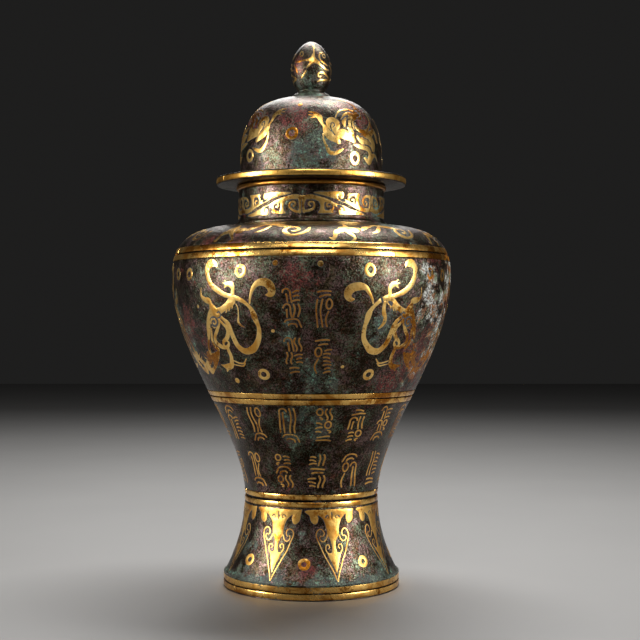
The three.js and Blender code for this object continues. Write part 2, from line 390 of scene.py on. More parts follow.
def channelled_skin():
    """The skin's outline and how far each point of it is sunk, with a square channel for each belt."""
    first, corner, ledge = 0.6, jar_skin.run[1], jar_skin.run[2]
    run = [np.arange(first, corner, 0.8), np.arange(corner, jar_skin.run[-1], SKIN_STEP), [jar_skin.run[-1]]]
    run = np.concatenate([*run, [corner, ledge, ledge + 0.5]])
    sunk = np.zeros(len(run))
    for low, high in BELTS.values():
        keep = (run < low - 2 * CHANNEL_EDGE) | (run > high + 2 * CHANNEL_EDGE)
        bottom = np.linspace(low + 0.3, high - 0.3, 7)
        steps = [low - CHANNEL_EDGE, low, low + 0.02, *bottom, high - 0.02, high, high + CHANNEL_EDGE]
        depth = [0, -CHANNEL_BEVEL, *[-CHANNEL_DEPTH] * (len(bottom) + 2), -CHANNEL_BEVEL, 0]
        run, sunk = np.append(run[keep], steps), np.append(sunk[keep], depth)
    order = np.argsort(run, kind="stable")
    return run[order], sunk[order]


def inner_outline():
    """Half outline of the inside, from the mouth to the floor's middle: the skin moved in by the wall."""
    inside = neck_radius - WALL
    floor_top = FOOT_RECESS + FLOOR
    run = np.arange(jar_skin.run_at(floor_top + 1), jar_skin.run[-1], 5)
    radius, height, outward, upward = jar_skin.across(run)
    moved = np.column_stack([radius - WALL * outward, height - WALL * upward])
    belly = moved[:, 1] < belly_height
    moved = moved[(belly | (moved[:, 0] > inside + 1)) & (moved[:, 1] > floor_top + 0.5)]
    floor_radius = np.interp(floor_top, moved[:, 1], moved[:, 0])
    top = [(inside, mouth_height - 0.4), (inside, neck_foot_height - WALL)]
    floor = [(floor_radius, floor_top), (floor_radius * 0.5, floor_top), (0, floor_top)]
    return np.vstack([top, moved[::-1], floor])


def neck_outline():
    """Half outline from the bead at the neck's foot, up the neck and over the mouth's edge."""
    bead_low, bead_high = neck_foot_height + 0.05, neck_foot_height + NECK_BEAD
    rebate = span("mouth_strip", 2)[0] - STRIP_GAP
    turn = np.linspace(-math.pi / 2, math.pi / 2, 9)
    middle, half = (bead_low + bead_high) / 2, (bead_high - bead_low) / 2
    bead = np.column_stack([bead_radius - 0.9 + 0.9 * np.cos(turn), middle + half * np.sin(turn)])
    neck = [(neck_radius + 0.5, bead_high + 0.3), (neck_radius, bead_high + 1.2), (neck_radius, rebate)]
    mouth = [(neck_radius - STRIP_DEPTH, rebate), (neck_radius - STRIP_DEPTH, mouth_height),
             (neck_radius - WALL + 0.4, mouth_height)]
    return evenly(np.vstack([bead, neck, mouth]), SKIN_STEP)


def turned_mesh(rows, angle=ROUND_ANGLES):
    """Points and quads of a face turned about the axis: rows of radius and height, joined all round.

    A row on the axis becomes one point, and the quads beside it become triangles.
    """
    points = [turned_place(0, height, angle[:1]) if np.max(radius) < ON_AXIS
              else turned_place(radius, height, angle) for radius, height in rows]
    starts = np.cumsum([0, *map(len, points)])
    column, faces = np.arange(len(angle)), []
    for row in range(len(rows) - 1):
        low, high = (starts[at] + (column if len(points[at]) > 1 else 0 * column) for at in (row, row + 1))
        corners = [low, np.roll(low, -1), np.roll(high, -1), high]
        if len(points[row]) == 1:
            del corners[1]
        elif len(points[row + 1]) == 1:
            del corners[2]
        faces += np.column_stack(corners).tolist()
    return np.vstack(points), faces


def add_piece(name, points, faces, finish, slot, replaced=None, sharp=35):
    """Makes a mesh piece in metres, with its weathering and the channels' mask on its points, and puts it on
    the jar.
    """
    mesh = bpy.data.meshes.new(name)
    mesh.from_pydata((points * MM).tolist(), [], faces)
    mesh.validate()
    mesh.polygons.foreach_set("use_smooth", [True] * len(mesh.polygons))
    mesh.set_sharp_from_angle(angle=math.radians(sharp))
    layer = mesh.attributes.new("weather", "FLOAT_COLOR", "POINT")
    layer.data.foreach_set("color", np.column_stack([weather(points), channel_mask(points)]).ravel())
    mesh.materials.append(finish)
    piece = bpy.data.objects.new(name, mesh)
    bpy.context.scene.collection.objects.link(piece)
    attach(piece, "root")
    if replaced:
        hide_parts(replaced)
    return piece


def weathered_row(place, sunk=0.0, crusted=True):
    """Radius and height all round at a place on an outline, moved out by the unevenness and the crust."""
    radius, height, outward, upward = place
    spot = turned_place(radius, height, ROUND_ANGLES)
    lift = sunk + unevenness(spot)
    if crusted:
        lift = lift + crust_height(spot, weather(spot)[:, 1])
    return radius + outward * lift, height + upward * lift


def jar_body_mesh():
    """The casting's points and faces, from the recess round the outside to the middle of the floor."""
    ring_inside = foot_radius - FOOT_RING_WIDTH
    rows = [(0, FOOT_RECESS), (ring_inside * 0.5, FOOT_RECESS), (ring_inside - 1.4, FOOT_RECESS),
            (ring_inside, 0.3), (ring_inside + 0.3, 0), (foot_radius - 0.6, 0),
            (foot_radius - 0.2, 0.2)]
    rows += [weathered_row(jar_skin.across(run), sunk, sunk == 0) for run, sunk in zip(*channelled_skin())]
    for radius, height in neck_outline():
        if height < mouth_height - MOUTH_TRUE_HEIGHT:
            radius = radius + unevenness(turned_place(radius, height, ROUND_ANGLES))
        rows.append((radius, height))
    return turned_mesh([*rows, *inner_outline()])


def stepped(tree, value, low, high):
    """Turns a value into a mask that rises smoothly from 0 at low to 1 at high."""
    return node(tree, "ShaderNodeMapRange", {"Value": value, "From Min": low, "From Max": high},
                interpolation_type="SMOOTHSTEP").outputs["Result"]


def blotches(tree, scale, low, high, detail=4, roughness=0.75, warp=0.0):
    """Mask of blotches, so many to the metre: a pattern that is stepped from low to high."""
    return stepped(tree, pattern(tree, scale, detail, roughness, warp), low, high)


def linear(tree, value, first, last):
    """A number that runs evenly from first, where the value is 0, to last, where it is 1."""
    settings = {"Value": value, "To Min": first, "To Max": last}
    return node(tree, "ShaderNodeMapRange", settings).outputs["Result"]


def plus(tree, first, second, operation="ADD"):
    return node(tree, "ShaderNodeMath", {0: first, 1: second}, operation=operation).outputs[0]


def times(tree, first, second):
    return plus(tree, first, second, "MULTIPLY")


def greater(tree, first, second):
    return plus(tree, first, second, "MAXIMUM")


def corrosion_group():
    """Breaks the painted weathering up into grains: one mask for each kind, with specks and pits."""
    group = bpy.data.node_groups.new("corrosion", "ShaderNodeTree")
    for name in ("Verdigris", "Crust", "Cuprite", "Stain", "Specks", "Pits", "Unchannelled"):
        group.interface.new_socket(name, in_out="OUTPUT", socket_type="NodeSocketFloat")
    painted = node(group, "ShaderNodeAttribute", attribute_name="weather")
    split = node(group, "ShaderNodeSeparateColor", {"Color": painted.outputs["Color"]}).outputs
    fine, coarse = pattern(group, 760, 3, 0.75), pattern(group, 170, 4, 0.7, 0.5)
    grain = plus(group, times(group, fine, 1.5), times(group, coarse, 2.0))
    rough = {channel: plus(group, times(group, split[channel], 0.85), grain)
             for channel in ("Red", "Green", "Blue")}
    fleck = plus(group, pattern(group, 1050, 2, 0.65), times(group, pattern(group, 100, 4, 0.7), 0.9))
    masks = {
        "Verdigris": stepped(group, rough["Red"], 2.15, 2.65),
        "Crust": stepped(group, rough["Green"], 2.15, 2.65),
        "Cuprite": stepped(group, rough["Blue"], 2.15, 2.65),
        "Stain": stepped(group, greater(group, rough["Green"], rough["Blue"]), 1.95, 2.35),
        "Specks": stepped(group, fleck, 0.99, 1.16),
        "Pits": blotches(group, 520, 0.3, 0.62, 5),
        "Unchannelled": painted.outputs["Alpha"],
    }
    made = node(group, "NodeGroupOutput")
    for name, mask in masks.items():
        group.links.new(mask, made.inputs[name])
    return group


corrosion = corrosion_group()


def placed_corrosion(tree):
    return node(tree, "ShaderNodeGroup", node_tree=corrosion).outputs


def connect(tree, shader, color, metallic, roughness, height, strength, distance):
    """Feeds a finish's shader, with a bump of the given strength and distance from a height."""
    bump = node(tree, "ShaderNodeBump", {"Height": height, "Strength": strength, "Distance": distance})
    for socket, value in {"Base Color": color, "Metallic": metallic, "Roughness": roughness,
                          "Normal": bump.outputs["Normal"]}.items():
        tree.links.new(value, shader.inputs[socket])


# CHANNEL_BLACK is the near black put on the floors of the strips' channels.
DARK_BRONZE, CHANNEL_BLACK = (0.011, 0.0065, 0.0025, 1), (0.004, 0.003, 0.003, 1)
WORN_BRONZE = (0.1, 0.074, 0.042, 1), (0.175, 0.108, 0.1, 1)
RED_DUST, PALE_FLECK = (0.075, 0.018, 0.009, 1), (0.095, 0.125, 0.08, 1)
CUPRITE_TONES = (0.01, 0.0025, 0.0015, 1), (0.15, 0.018, 0.014, 1)
VERDIGRIS_TONES = (0.003, 0.007, 0.003, 1), (0.028, 0.07, 0.042, 1)
VERDIGRIS_POWDER = (0.1, 0.24, 0.17, 1)
CRUST_TONES, CRUST_PIT = ((0.32, 0.32, 0.29, 1), (0.1, 0.125, 0.07, 1)), (0.02, 0.014, 0.01, 1)
CRUST_RUST = (0.03, 0.012, 0.005, 1), (0.2, 0.07, 0.012, 1)


def crust_color(tree, corroded, mottle):
    """Pale and greenish crust with black pits in it, rusty here and there and where there is cuprite."""
    pale = mixed(tree, blotches(tree, 95, 0.5, 0.6, 3, 0.6), *CRUST_TONES)
    pitted = mixed(tree, blotches(tree, 560, 0.45, 0.53, 4, 0.7, 0.4), CRUST_PIT, pale)
    rusted = plus(tree, pattern(tree, 150, 4, 0.7, 0.8), times(tree, corroded["Cuprite"], 0.16))
    rust = mixed(tree, stepped(tree, mottle, 0.42, 0.58), *CRUST_RUST)
    return mixed(tree, stepped(tree, rusted, 0.53, 0.6), pitted, rust)


def bronze_finish():
    """Old cast bronze: bare dark metal with a plum cast, mottled, under verdigris, pale crust and cuprite."""
    finish, tree, shader = new_finish("old_bronze")
    corroded = placed_corrosion(tree)
    mottle = pattern(tree, 900, 5, 0.8, 0.3)
    broad = pattern(tree, 80, 4, 0.65, 0.3)
    worn = mixed(tree, blotches(tree, 130, 0.44, 0.56, 4, 0.7, 0.6), *WORN_BRONZE)
    rubbed = stepped(tree, plus(tree, mottle, times(tree, broad, 0.5)), 0.7, 0.92)
    color = mixed(tree, rubbed, DARK_BRONZE, worn)
    dust = blotches(tree, 480, 0.56, 0.62, 4, 0.8)
    red = mixed(tree, stepped(tree, mottle, 0.42, 0.6), *CUPRITE_TONES)
    green = mixed(tree, blotches(tree, 800, 0.48, 0.65), *VERDIGRIS_TONES)
    green = mixed(tree, blotches(tree, 280, 0.57, 0.68), green, VERDIGRIS_POWDER)
    for mask, share, tone in ((dust, 0.6, RED_DUST), (corroded["Cuprite"], 0.85, red),
                              (corroded["Verdigris"], 0.85, green),
                              (corroded["Crust"], 1, crust_color(tree, corroded, mottle)),
                              (corroded["Specks"], 0.7, PALE_FLECK)):
        color = mixed(tree, times(tree, mask, share), color, tone)
    # Deep in the strips' channels the bronze is made near black.
    color = mixed(tree, corroded["Unchannelled"], CHANNEL_BLACK, color)
    covered = greater(tree, corroded["Verdigris"], corroded["Crust"])
    covered = greater(tree, covered, times(tree, corroded["Cuprite"], 0.4))
    gloss = plus(tree, linear(tree, covered, 0.18, 0.45), times(tree, mottle, 0.26))
    relief = plus(tree, corroded["Pits"], times(tree, covered, 0.5))
    connect(tree, shader, color, linear(tree, covered, 0.95, 0.1), gloss, relief, 0.5, 0.00016)
    return finish


bronze = bronze_finish()
add_piece("jar_casting", *jar_body_mesh(), bronze, "bronze", "jar_body")


# Gold strips
# Plain strips of beaten gold are hammered into channels in pairs, round the foot, waist, belly and
# shoulder. Each ring is made of a few lengths that meet at thin seams, and its face is a little crowned.
STRIP_CROWN = 0.22
STRIP_SINK = 0.02
SEAM_DEPTH = 0.3
SEAM_WIDTH = 0.16
STRIP_SEAMS = {
    "foot_strip_lower": (-58, 62, 175), "foot_strip_upper": (17, 138, -96),
    "waist_strip_lower": (-28, 17, 160, -120), "waist_strip_upper": (70, -75, 190),
    "belly_strip_lower": (-45, 60, 150, -130), "belly_strip_upper": (-20, 95, 215),
    "shoulder_strip_lower": (-41, 34, 130, -110), "shoulder_strip_upper": (8, -72, 100, 200),
}
GOLD_DIRT, GOLD_EATEN = (0.2, 0.085, 0.025, 1), (0.04, 0.055, 0.035, 1)
GOLD_RUST = (0.42, 0.16, 0.013, 1), (0.2, 0.065, 0.008, 1)


def gold_finish(name, bright, stain, roughness, dirt):
    """Beaten gold: hammered and scratched, brown where it is stained, rusty and pitted where it is eaten."""
    finish, tree, shader = new_finish(name)
    corroded = placed_corrosion(tree)
    broad, fine = pattern(tree, 70, 4, 0.6, 0.8), pattern(tree, 750, 4, 0.75)
    color = mixed(tree, stepped(tree, broad, 0.4, 0.68), (*bright, 1), (*stain, 1))
    color = mixed(tree, stepped(tree, plus(tree, fine, dirt), 0.6, 0.78), color, GOLD_DIRT)
    color = mixed(tree, corroded["Stain"], color, mixed(tree, stepped(tree, fine, 0.42, 0.6), *GOLD_RUST))
    eaten = stepped(tree, times(tree, corroded["Verdigris"], fine), 0.46, 0.6)
    color = mixed(tree, eaten, color, GOLD_EATEN)
    dull = plus(tree, times(tree, broad, 0.16), times(tree, corroded["Crust"], 0.28))
    dull = plus(tree, dull, roughness)
    relief = plus(tree, pattern(tree, 260, 2, 0.5), times(tree, fine, 0.35))
    connect(tree, shader, color, linear(tree, eaten, 1.0, 0.2), dull, relief, 0.4, 0.0003)
    return finish


strip_gold = gold_finish("beaten_gold", (0.92, 0.56, 0.16), (0.42, 0.18, 0.028), 0.2, 0.0)


def away_from(angle, seam):
    """Angle between points round a ring and a seam, never over half a turn."""
    return np.abs(np.angle(np.exp(1j * (angle - math.radians(seam)))))


def seamed_columns(seams, radius):
    """Angles round a ring, with a few close ones at each seam so that the seam's edges are crisp."""
    beside = np.array([-2.2, -1, -0.5, 0.5, 1, 2.2]) * SEAM_WIDTH / radius
    close = [math.radians(seam) % (2 * math.pi) + beside for seam in seams]
    clear = [away_from(ROUND_ANGLES, seam) > 3 * SEAM_WIDTH / radius for seam in seams]
    return np.sort(np.concatenate([ROUND_ANGLES[np.all(clear, axis=0)], *close]))


def seam_dip(angle, seams, radius):
    """How deep the seams cut at each angle: a flat-bottomed groove at each."""
    away = np.min([away_from(angle, seam) for seam in seams], axis=0) * radius
    return SEAM_DEPTH * np.clip(1.5 - away / SEAM_WIDTH, 0, 1)


def arched(share, crown):
    """Height of a strip's face across its width, a low arch, and of its flat back at both ends."""
    share = np.array(share)
    height = crown * (1 - (2 * share - 1) ** 4) - STRIP_SINK
    height[[0, -1]] = -STRIP_DEPTH
    return share, height


def strip_mesh(name, seams):
    """A ring in its channel: the section's face is a low arch, and its back is flat."""
    low, high = (float(jar_skin.run_at(height)) for height in span(name, 2))
    radius = float(jar_skin.across((low + high) / 2)[0])
    angle = seamed_columns(seams, radius)
    share, lifts = arched([0, 0, 0.03, 0.08, 0.18, 0.34, 0.5, 0.66, 0.82, 0.92, 0.97, 1, 1], STRIP_CROWN)
    rows = []
    for here, lift in zip(between(low, high, share), lifts):
        dip = seam_dip(angle, seams, radius) if lift > -STRIP_DEPTH else 0
        ring = jar_skin.place(angle, here, lift - dip)
        rows.append((np.hypot(ring[:, 0], ring[:, 1]), ring[:, 2]))
    return turned_mesh([*rows, rows[0]], angle)


for strip, seams in STRIP_SEAMS.items():
    add_piece(f"{strip}_ring", *strip_mesh(strip, seams), strip_gold, "gold", strip)


# Mouth strip
# A gilt strip with a rounded face is let in round the mouth, just under the lid's flange. It lies in the
# flange's shadow, and its gold is painted darker than the belts' gold: painted shade.
MOUTH_STRIP_ROUNDING = 1.2


def mouth_strip_mesh():
    low, high = span("mouth_strip", 2)
    middle, half = (low + high) / 2, (high - low) / 2
    inside = neck_radius - STRIP_DEPTH + STRIP_GAP
    outside = span("mouth_strip", 0)[1] - MOUTH_STRIP_ROUNDING
    turn = np.linspace(-math.pi / 2, math.pi / 2, 13)
    face = np.column_stack([outside + MOUTH_STRIP_ROUNDING * np.cos(turn), middle + half * np.sin(turn)])
    return turned_mesh(np.vstack([[(inside, low)], face, [(inside, high), (inside, low)]]))


# The mouth strip's gold is a darker copy of the strip gold: painted shade under the flange.
mouth_gold = gold_finish("flange_shaded_gold", (0.6, 0.27, 0.045), (0.2, 0.08, 0.015), 0.22, 0.05)
add_piece("mouth_strip_ring", *mouth_strip_mesh(), mouth_gold, "gold", "mouth_strip")


# Inlaid dragons on the belly
# Six dragons of sheet gold lie in grooves chased into the belly, in pairs that face each other. The gold is
# tapped down nearly flush, a little pillowed, and a thin dark line of the groove shows round it.
GOLD_LIFT = 0.06
SEAT_LIFT = 0.03
PILLOW = 0.13
PILLOW_WIDTH = 1.6
PLATE_DEPTH = 0.5
SEAT_SPREAD = 0.28
HAND_WOBBLE = 0.22
CURVE_STEP = 0.75
SHEET_GRID = 1.6
MERGE_WITHIN = 0.001


def smooth(points, step=CURVE_STEP):
    """Catmull-Rom curve through points: each leg's ends run parallel to the neighbours' chords."""
    given = np.asarray(points, float)
    ends = np.vstack([2 * given[0] - given[1], given, 2 * given[-1] - given[-2]])
    legs = []
    for a, b, c, d in zip(ends, ends[1:], ends[2:], ends[3:]):
        steps = int(np.clip(math.dist(b[:2], c[:2]) / step, 1, 6))
        t = np.arange(steps)[:, None] / steps
        legs.append(b + 0.5 * t * (c - a) + t ** 2 * (a - 2.5 * b + 2 * c - 0.5 * d)
                    + 0.5 * t ** 3 * (d - a + 3 * (b - c)))
    return np.vstack([*legs, given[-1:]])


def disc(x, y, radius):
    """Triangles of a round patch."""
    steps = 6 if radius < 1 else 12
    turn = np.arange(steps + 1) / steps * 2 * math.pi
    rim = np.column_stack([x + radius * np.cos(turn), y + radius * np.sin(turn)])
    return np.stack([np.broadcast_to((x, y), (steps, 2)), rim[:-1], rim[1:]], axis=1)


def brushed(points, spread=0.0, curved=True):
    """A round-ended brush stroke of x, y and width: the triangles it covers, its outlines and middle line."""
    path = smooth(points, CURVE_STEP + 3 * spread) if curved else np.asarray(points, float)
    middle, half = path[:, :2], np.maximum(path[:, 2], 0.25) / 2 + spread
    along = np.gradient(middle, axis=0)
    along /= np.hypot(*along.T)[:, None] + 1e-9
    across = np.column_stack([-along[:, 1], along[:, 0]]) * half[:, None]
    left, right = middle + across, middle - across
    bands = [np.stack(corners, axis=1) for corners in (
        (middle[:-1], right[:-1], right[1:]), (middle[:-1], right[1:], middle[1:]),
        (middle[:-1], middle[1:], left[1:]), (middle[:-1], left[1:], left[:-1]))]
    ends = [disc(*middle[end], half[end]) for end in (0, -1) if half[end] > 0.3]
    return np.vstack(bands + ends), [np.vstack([left, right[::-1]]), *(end[:, 1] for end in ends)], middle


def ring(x, y, outer, inner, squash=1.0):
    """A round band as one closed brush stroke."""
    turn = np.linspace(0, 2 * math.pi, 25)
    middle, width = (outer + inner) / 2, outer - inner
    x, y = x + squash * middle * np.cos(turn), y + middle * np.sin(turn)
    return np.column_stack([x, y, np.full(len(turn), width)])


def curl(x, y, start, turns, outer, inner, thick, thin, steps=22):
    """A spiral brush stroke: radius and width shrink evenly as the angle runs on from start."""
    share = np.linspace(0, 1, steps)
    angle = math.radians(start) + turns * 2 * math.pi * share
    radius = between(outer, inner, share)
    x, y = x + radius * np.cos(angle), y + radius * np.sin(angle)
    return np.column_stack([x, y, between(thick, thin, share)])


def under(points, triangles):
    """Which points lie in at least one of the triangles: on the left of all three of its edges."""
    found = np.zeros(len(points), bool)
    if not len(triangles):
        return found
    for part in np.array_split(triangles, len(triangles) // 400 + 1):
        edge = np.roll(part, -1, axis=1) - part
        reach = edge[..., 0] * part[..., 1] - edge[..., 1] * part[..., 0]
        least = np.inf
        for corner in range(3):
            side = points @ np.stack([-edge[:, corner, 1], edge[:, corner, 0]]) - reach[:, corner]
            least = np.minimum(least, side)
        found |= (least > 0).any(axis=1)
    return found


def within(points, outline):
    """Which points lie inside an outline: a line to the right of them crosses it an odd number of times."""
    x, y = points.T[:, :, None]
    (from_x, from_y), (to_x, to_y) = outline.T, np.roll(outline, -1, axis=0).T
    crossing = from_x + (y - from_y) * (to_x - from_x) / (to_y - from_y + 1e-12)
    crosses = ((from_y > y) != (to_y > y)) & (x < crossing)
    return crosses.sum(axis=1) % 2 == 1


def grid_within(outline):
    """Evenly spaced points inside an outline, so that a broad sheet can follow the curve under it."""
    (low_x, low_y), (high_x, high_y) = outline.min(axis=0), outline.max(axis=0)
    across, up = np.meshgrid(np.arange(low_x, high_x, SHEET_GRID), np.arange(low_y, high_y, SHEET_GRID))
    across = across + SHEET_GRID / 2 * (np.arange(len(up)) % 2)[:, None]
    points = np.column_stack([across.ravel(), up.ravel()])
    return points[within(points, outline)]


def counter_clockwise(triangles):
    """The same triangles, all turned one way, without the slivers."""
    first, second = triangles[:, 1] - triangles[:, 0], triangles[:, 2] - triangles[:, 0]
    area = first[:, 0] * second[:, 1] - first[:, 1] * second[:, 0]
    return np.where((area < 0)[:, None, None], triangles[:, ::-1], triangles)[np.abs(area) > 1e-4]


def traced(figure, spread):
    """A figure's parts as brushed strokes, and its shapes as smooth outlines. A spread one has no grooves."""
    drawn = {part: [brushed(path, spread, part != "rings") for path in figure.get(part, [])]
             for part in ("strokes", "rings", "grooves", "curls")}
    shapes = [smooth([*shape, shape[0]])[:-1] for shape in figure.get("shapes", [])]
    drawn["rims"] = []
    if spread:
        drawn["grooves"] = []
        rims = [np.column_stack([shape, np.zeros(len(shape))]) for shape in shapes]
        drawn["rims"] = [brushed(np.vstack([rim, rim[:1]]), spread, curved=False) for rim in rims]
    return drawn, shapes


def brushed_area(drawn, *parts):
    """The triangles that some parts of a figure cover, all turned one way."""
    triangles = [stroke[0] for part in parts for stroke in drawn[part]]
    return counter_clockwise(np.vstack([np.zeros((0, 3, 2)), *triangles]))


def triangulated(drawn, shapes, spread):
    """Points and triangles that keep every outline as edges. A sheet that isn't spread has points inside."""
    strokes = [stroke for part in drawn.values() for stroke in part]
    loops = [*(outline for stroke in strokes for outline in stroke[1]), *shapes]
    inner = [] if spread else [stroke[2] for stroke in strokes] + [grid_within(shape) for shape in shapes]
    starts = np.cumsum([0] + [len(loop) for loop in loops])
    edges = [(start + index, start + (index + 1) % len(loop))
             for start, loop in zip(starts.tolist(), loops) for index in range(len(loop))]
    points = [Vector(point) for loop in loops + inner for point in loop.tolist()]
    merged = delaunay_2d_cdt(points, edges, [], 0, MERGE_WITHIN, False)
    return np.array([tuple(point) for point in merged[0]]), np.array(merged[2])


def open_edges(triangles, count):
    """The edges that only one triangle has, where there are so many points."""
    edges = np.vstack([triangles[:, [0, 1]], triangles[:, [1, 2]], triangles[:, [2, 0]]])
    one_way = edges[:, 0] * count + edges[:, 1]
    other_way = edges[:, 1] * count + edges[:, 0]
    return edges[~np.isin(one_way, other_way)]


def united(figure, spread=0.0):
    """One flat sheet from a figure's strokes and shapes, less its grooves, with curls laid over these.

    A triangulation of all the outlines is kept where the middle of a triangle is covered. Returned are the
    sheet's points, its triangles and its rim.
    """
    drawn, shapes = traced(figure, spread)
    flat, triangles = triangulated(drawn, shapes, spread)
    middle = flat[triangles].mean(axis=1)
    covered = under(middle, brushed_area(drawn, "strokes", "rings", "rims"))
    for shape in shapes:
        covered |= within(middle, shape)
    covered &= ~under(middle, brushed_area(drawn, "grooves"))
    covered |= under(middle, brushed_area(drawn, "curls"))
    used, kept = np.unique(triangles[covered], return_inverse=True)
    kept = kept.reshape(-1, 3)
    return flat[used], kept, open_edges(kept, len(used))


def pillowed(flat, rim, lift):
    """Height of the gold over the skin, which rises in a soft curve from the edge to each stroke's middle."""
    edge = flat[np.unique(rim)]
    away = np.concatenate([np.hypot(*(part[:, None] - edge[None]).transpose(2, 0, 1)).min(axis=1)
                           for part in np.array_split(flat, max(1, len(flat) // 400))])
    share = np.clip(away / PILLOW_WIDTH, 0, 1)
    return lift + PILLOW * share * (2 - share)


def sheet_mesh(sheets, skin, places, lift, pillow):
    """Wraps flat sheets on a skin at each place, as closed plates with an upper and a lower face."""
    points, faces, total = [], [], 0
    for number, (which, angle, height, flip) in enumerate(places):
        flat, triangles, rim = sheets[which]
        levels = [np.full(len(flat), 50.0 * number + 9 * axis) for axis in (0, 1)]
        wobble = [ripple(np.column_stack([flat, level]), 11, 30) for level in levels]
        shaky = flat + HAND_WOBBLE * np.column_stack(wobble)
        if flip:
            shaky, triangles, rim = shaky * (-1, 1), triangles[:, ::-1], rim[:, ::-1]
        raised = pillowed(flat, rim, lift) if pillow else lift
        upper, lower = skin.lay(shaky, raised, angle, height), skin.lay(shaky, -PLATE_DEPTH, angle, height)
        count = len(flat)
        wall = np.column_stack([rim[:, 1], rim[:, 0], rim[:, 0] + count, rim[:, 1] + count])
        points += [upper, lower]
        for part in (triangles, triangles[:, ::-1] + count, wall):
            faces += (part + total).tolist()
        total += 2 * count
    return np.vstack(points), faces


def inlay(name, figures, skin, places, finish):
    """Sets gold figures in a skin at places of a figure's number, angle, height and whether it is flipped."""
    gold = [united(figure) for figure in figures]
    seat = [united(figure, SEAT_SPREAD) for figure in figures]
    add_piece(name, *sheet_mesh(gold, skin, places, GOLD_LIFT, True), finish, "gold")
    add_piece(f"{name}_seat", *sheet_mesh(seat, skin, places, SEAT_LIFT, False), seat_bronze, "bronze")


TARNISH = (0.012, 0.010, 0.009, 1), (0.03, 0.045, 0.036, 1)
GREEN_TARNISH = (0.03, 0.09, 0.07, 1)


def seat_finish():
    """The chased groove round the gold: black tarnish with a few green grains."""
    finish, tree, shader = new_finish("groove_tarnish")
    corroded = placed_corrosion(tree)
    tone = mixed(tree, corroded["Specks"], *TARNISH)
    tone = mixed(tree, times(tree, corroded["Verdigris"], 0.6), tone, GREEN_TARNISH)
    tree.links.new(tone, shader.inputs["Base Color"])
    shader.inputs["Roughness"].default_value = 0.6
    return finish


seat_bronze = seat_finish()
inlaid_gold = gold_finish("inlaid_gold", (0.95, 0.62, 0.2), (0.6, 0.29, 0.05), 0.22, 0.0)

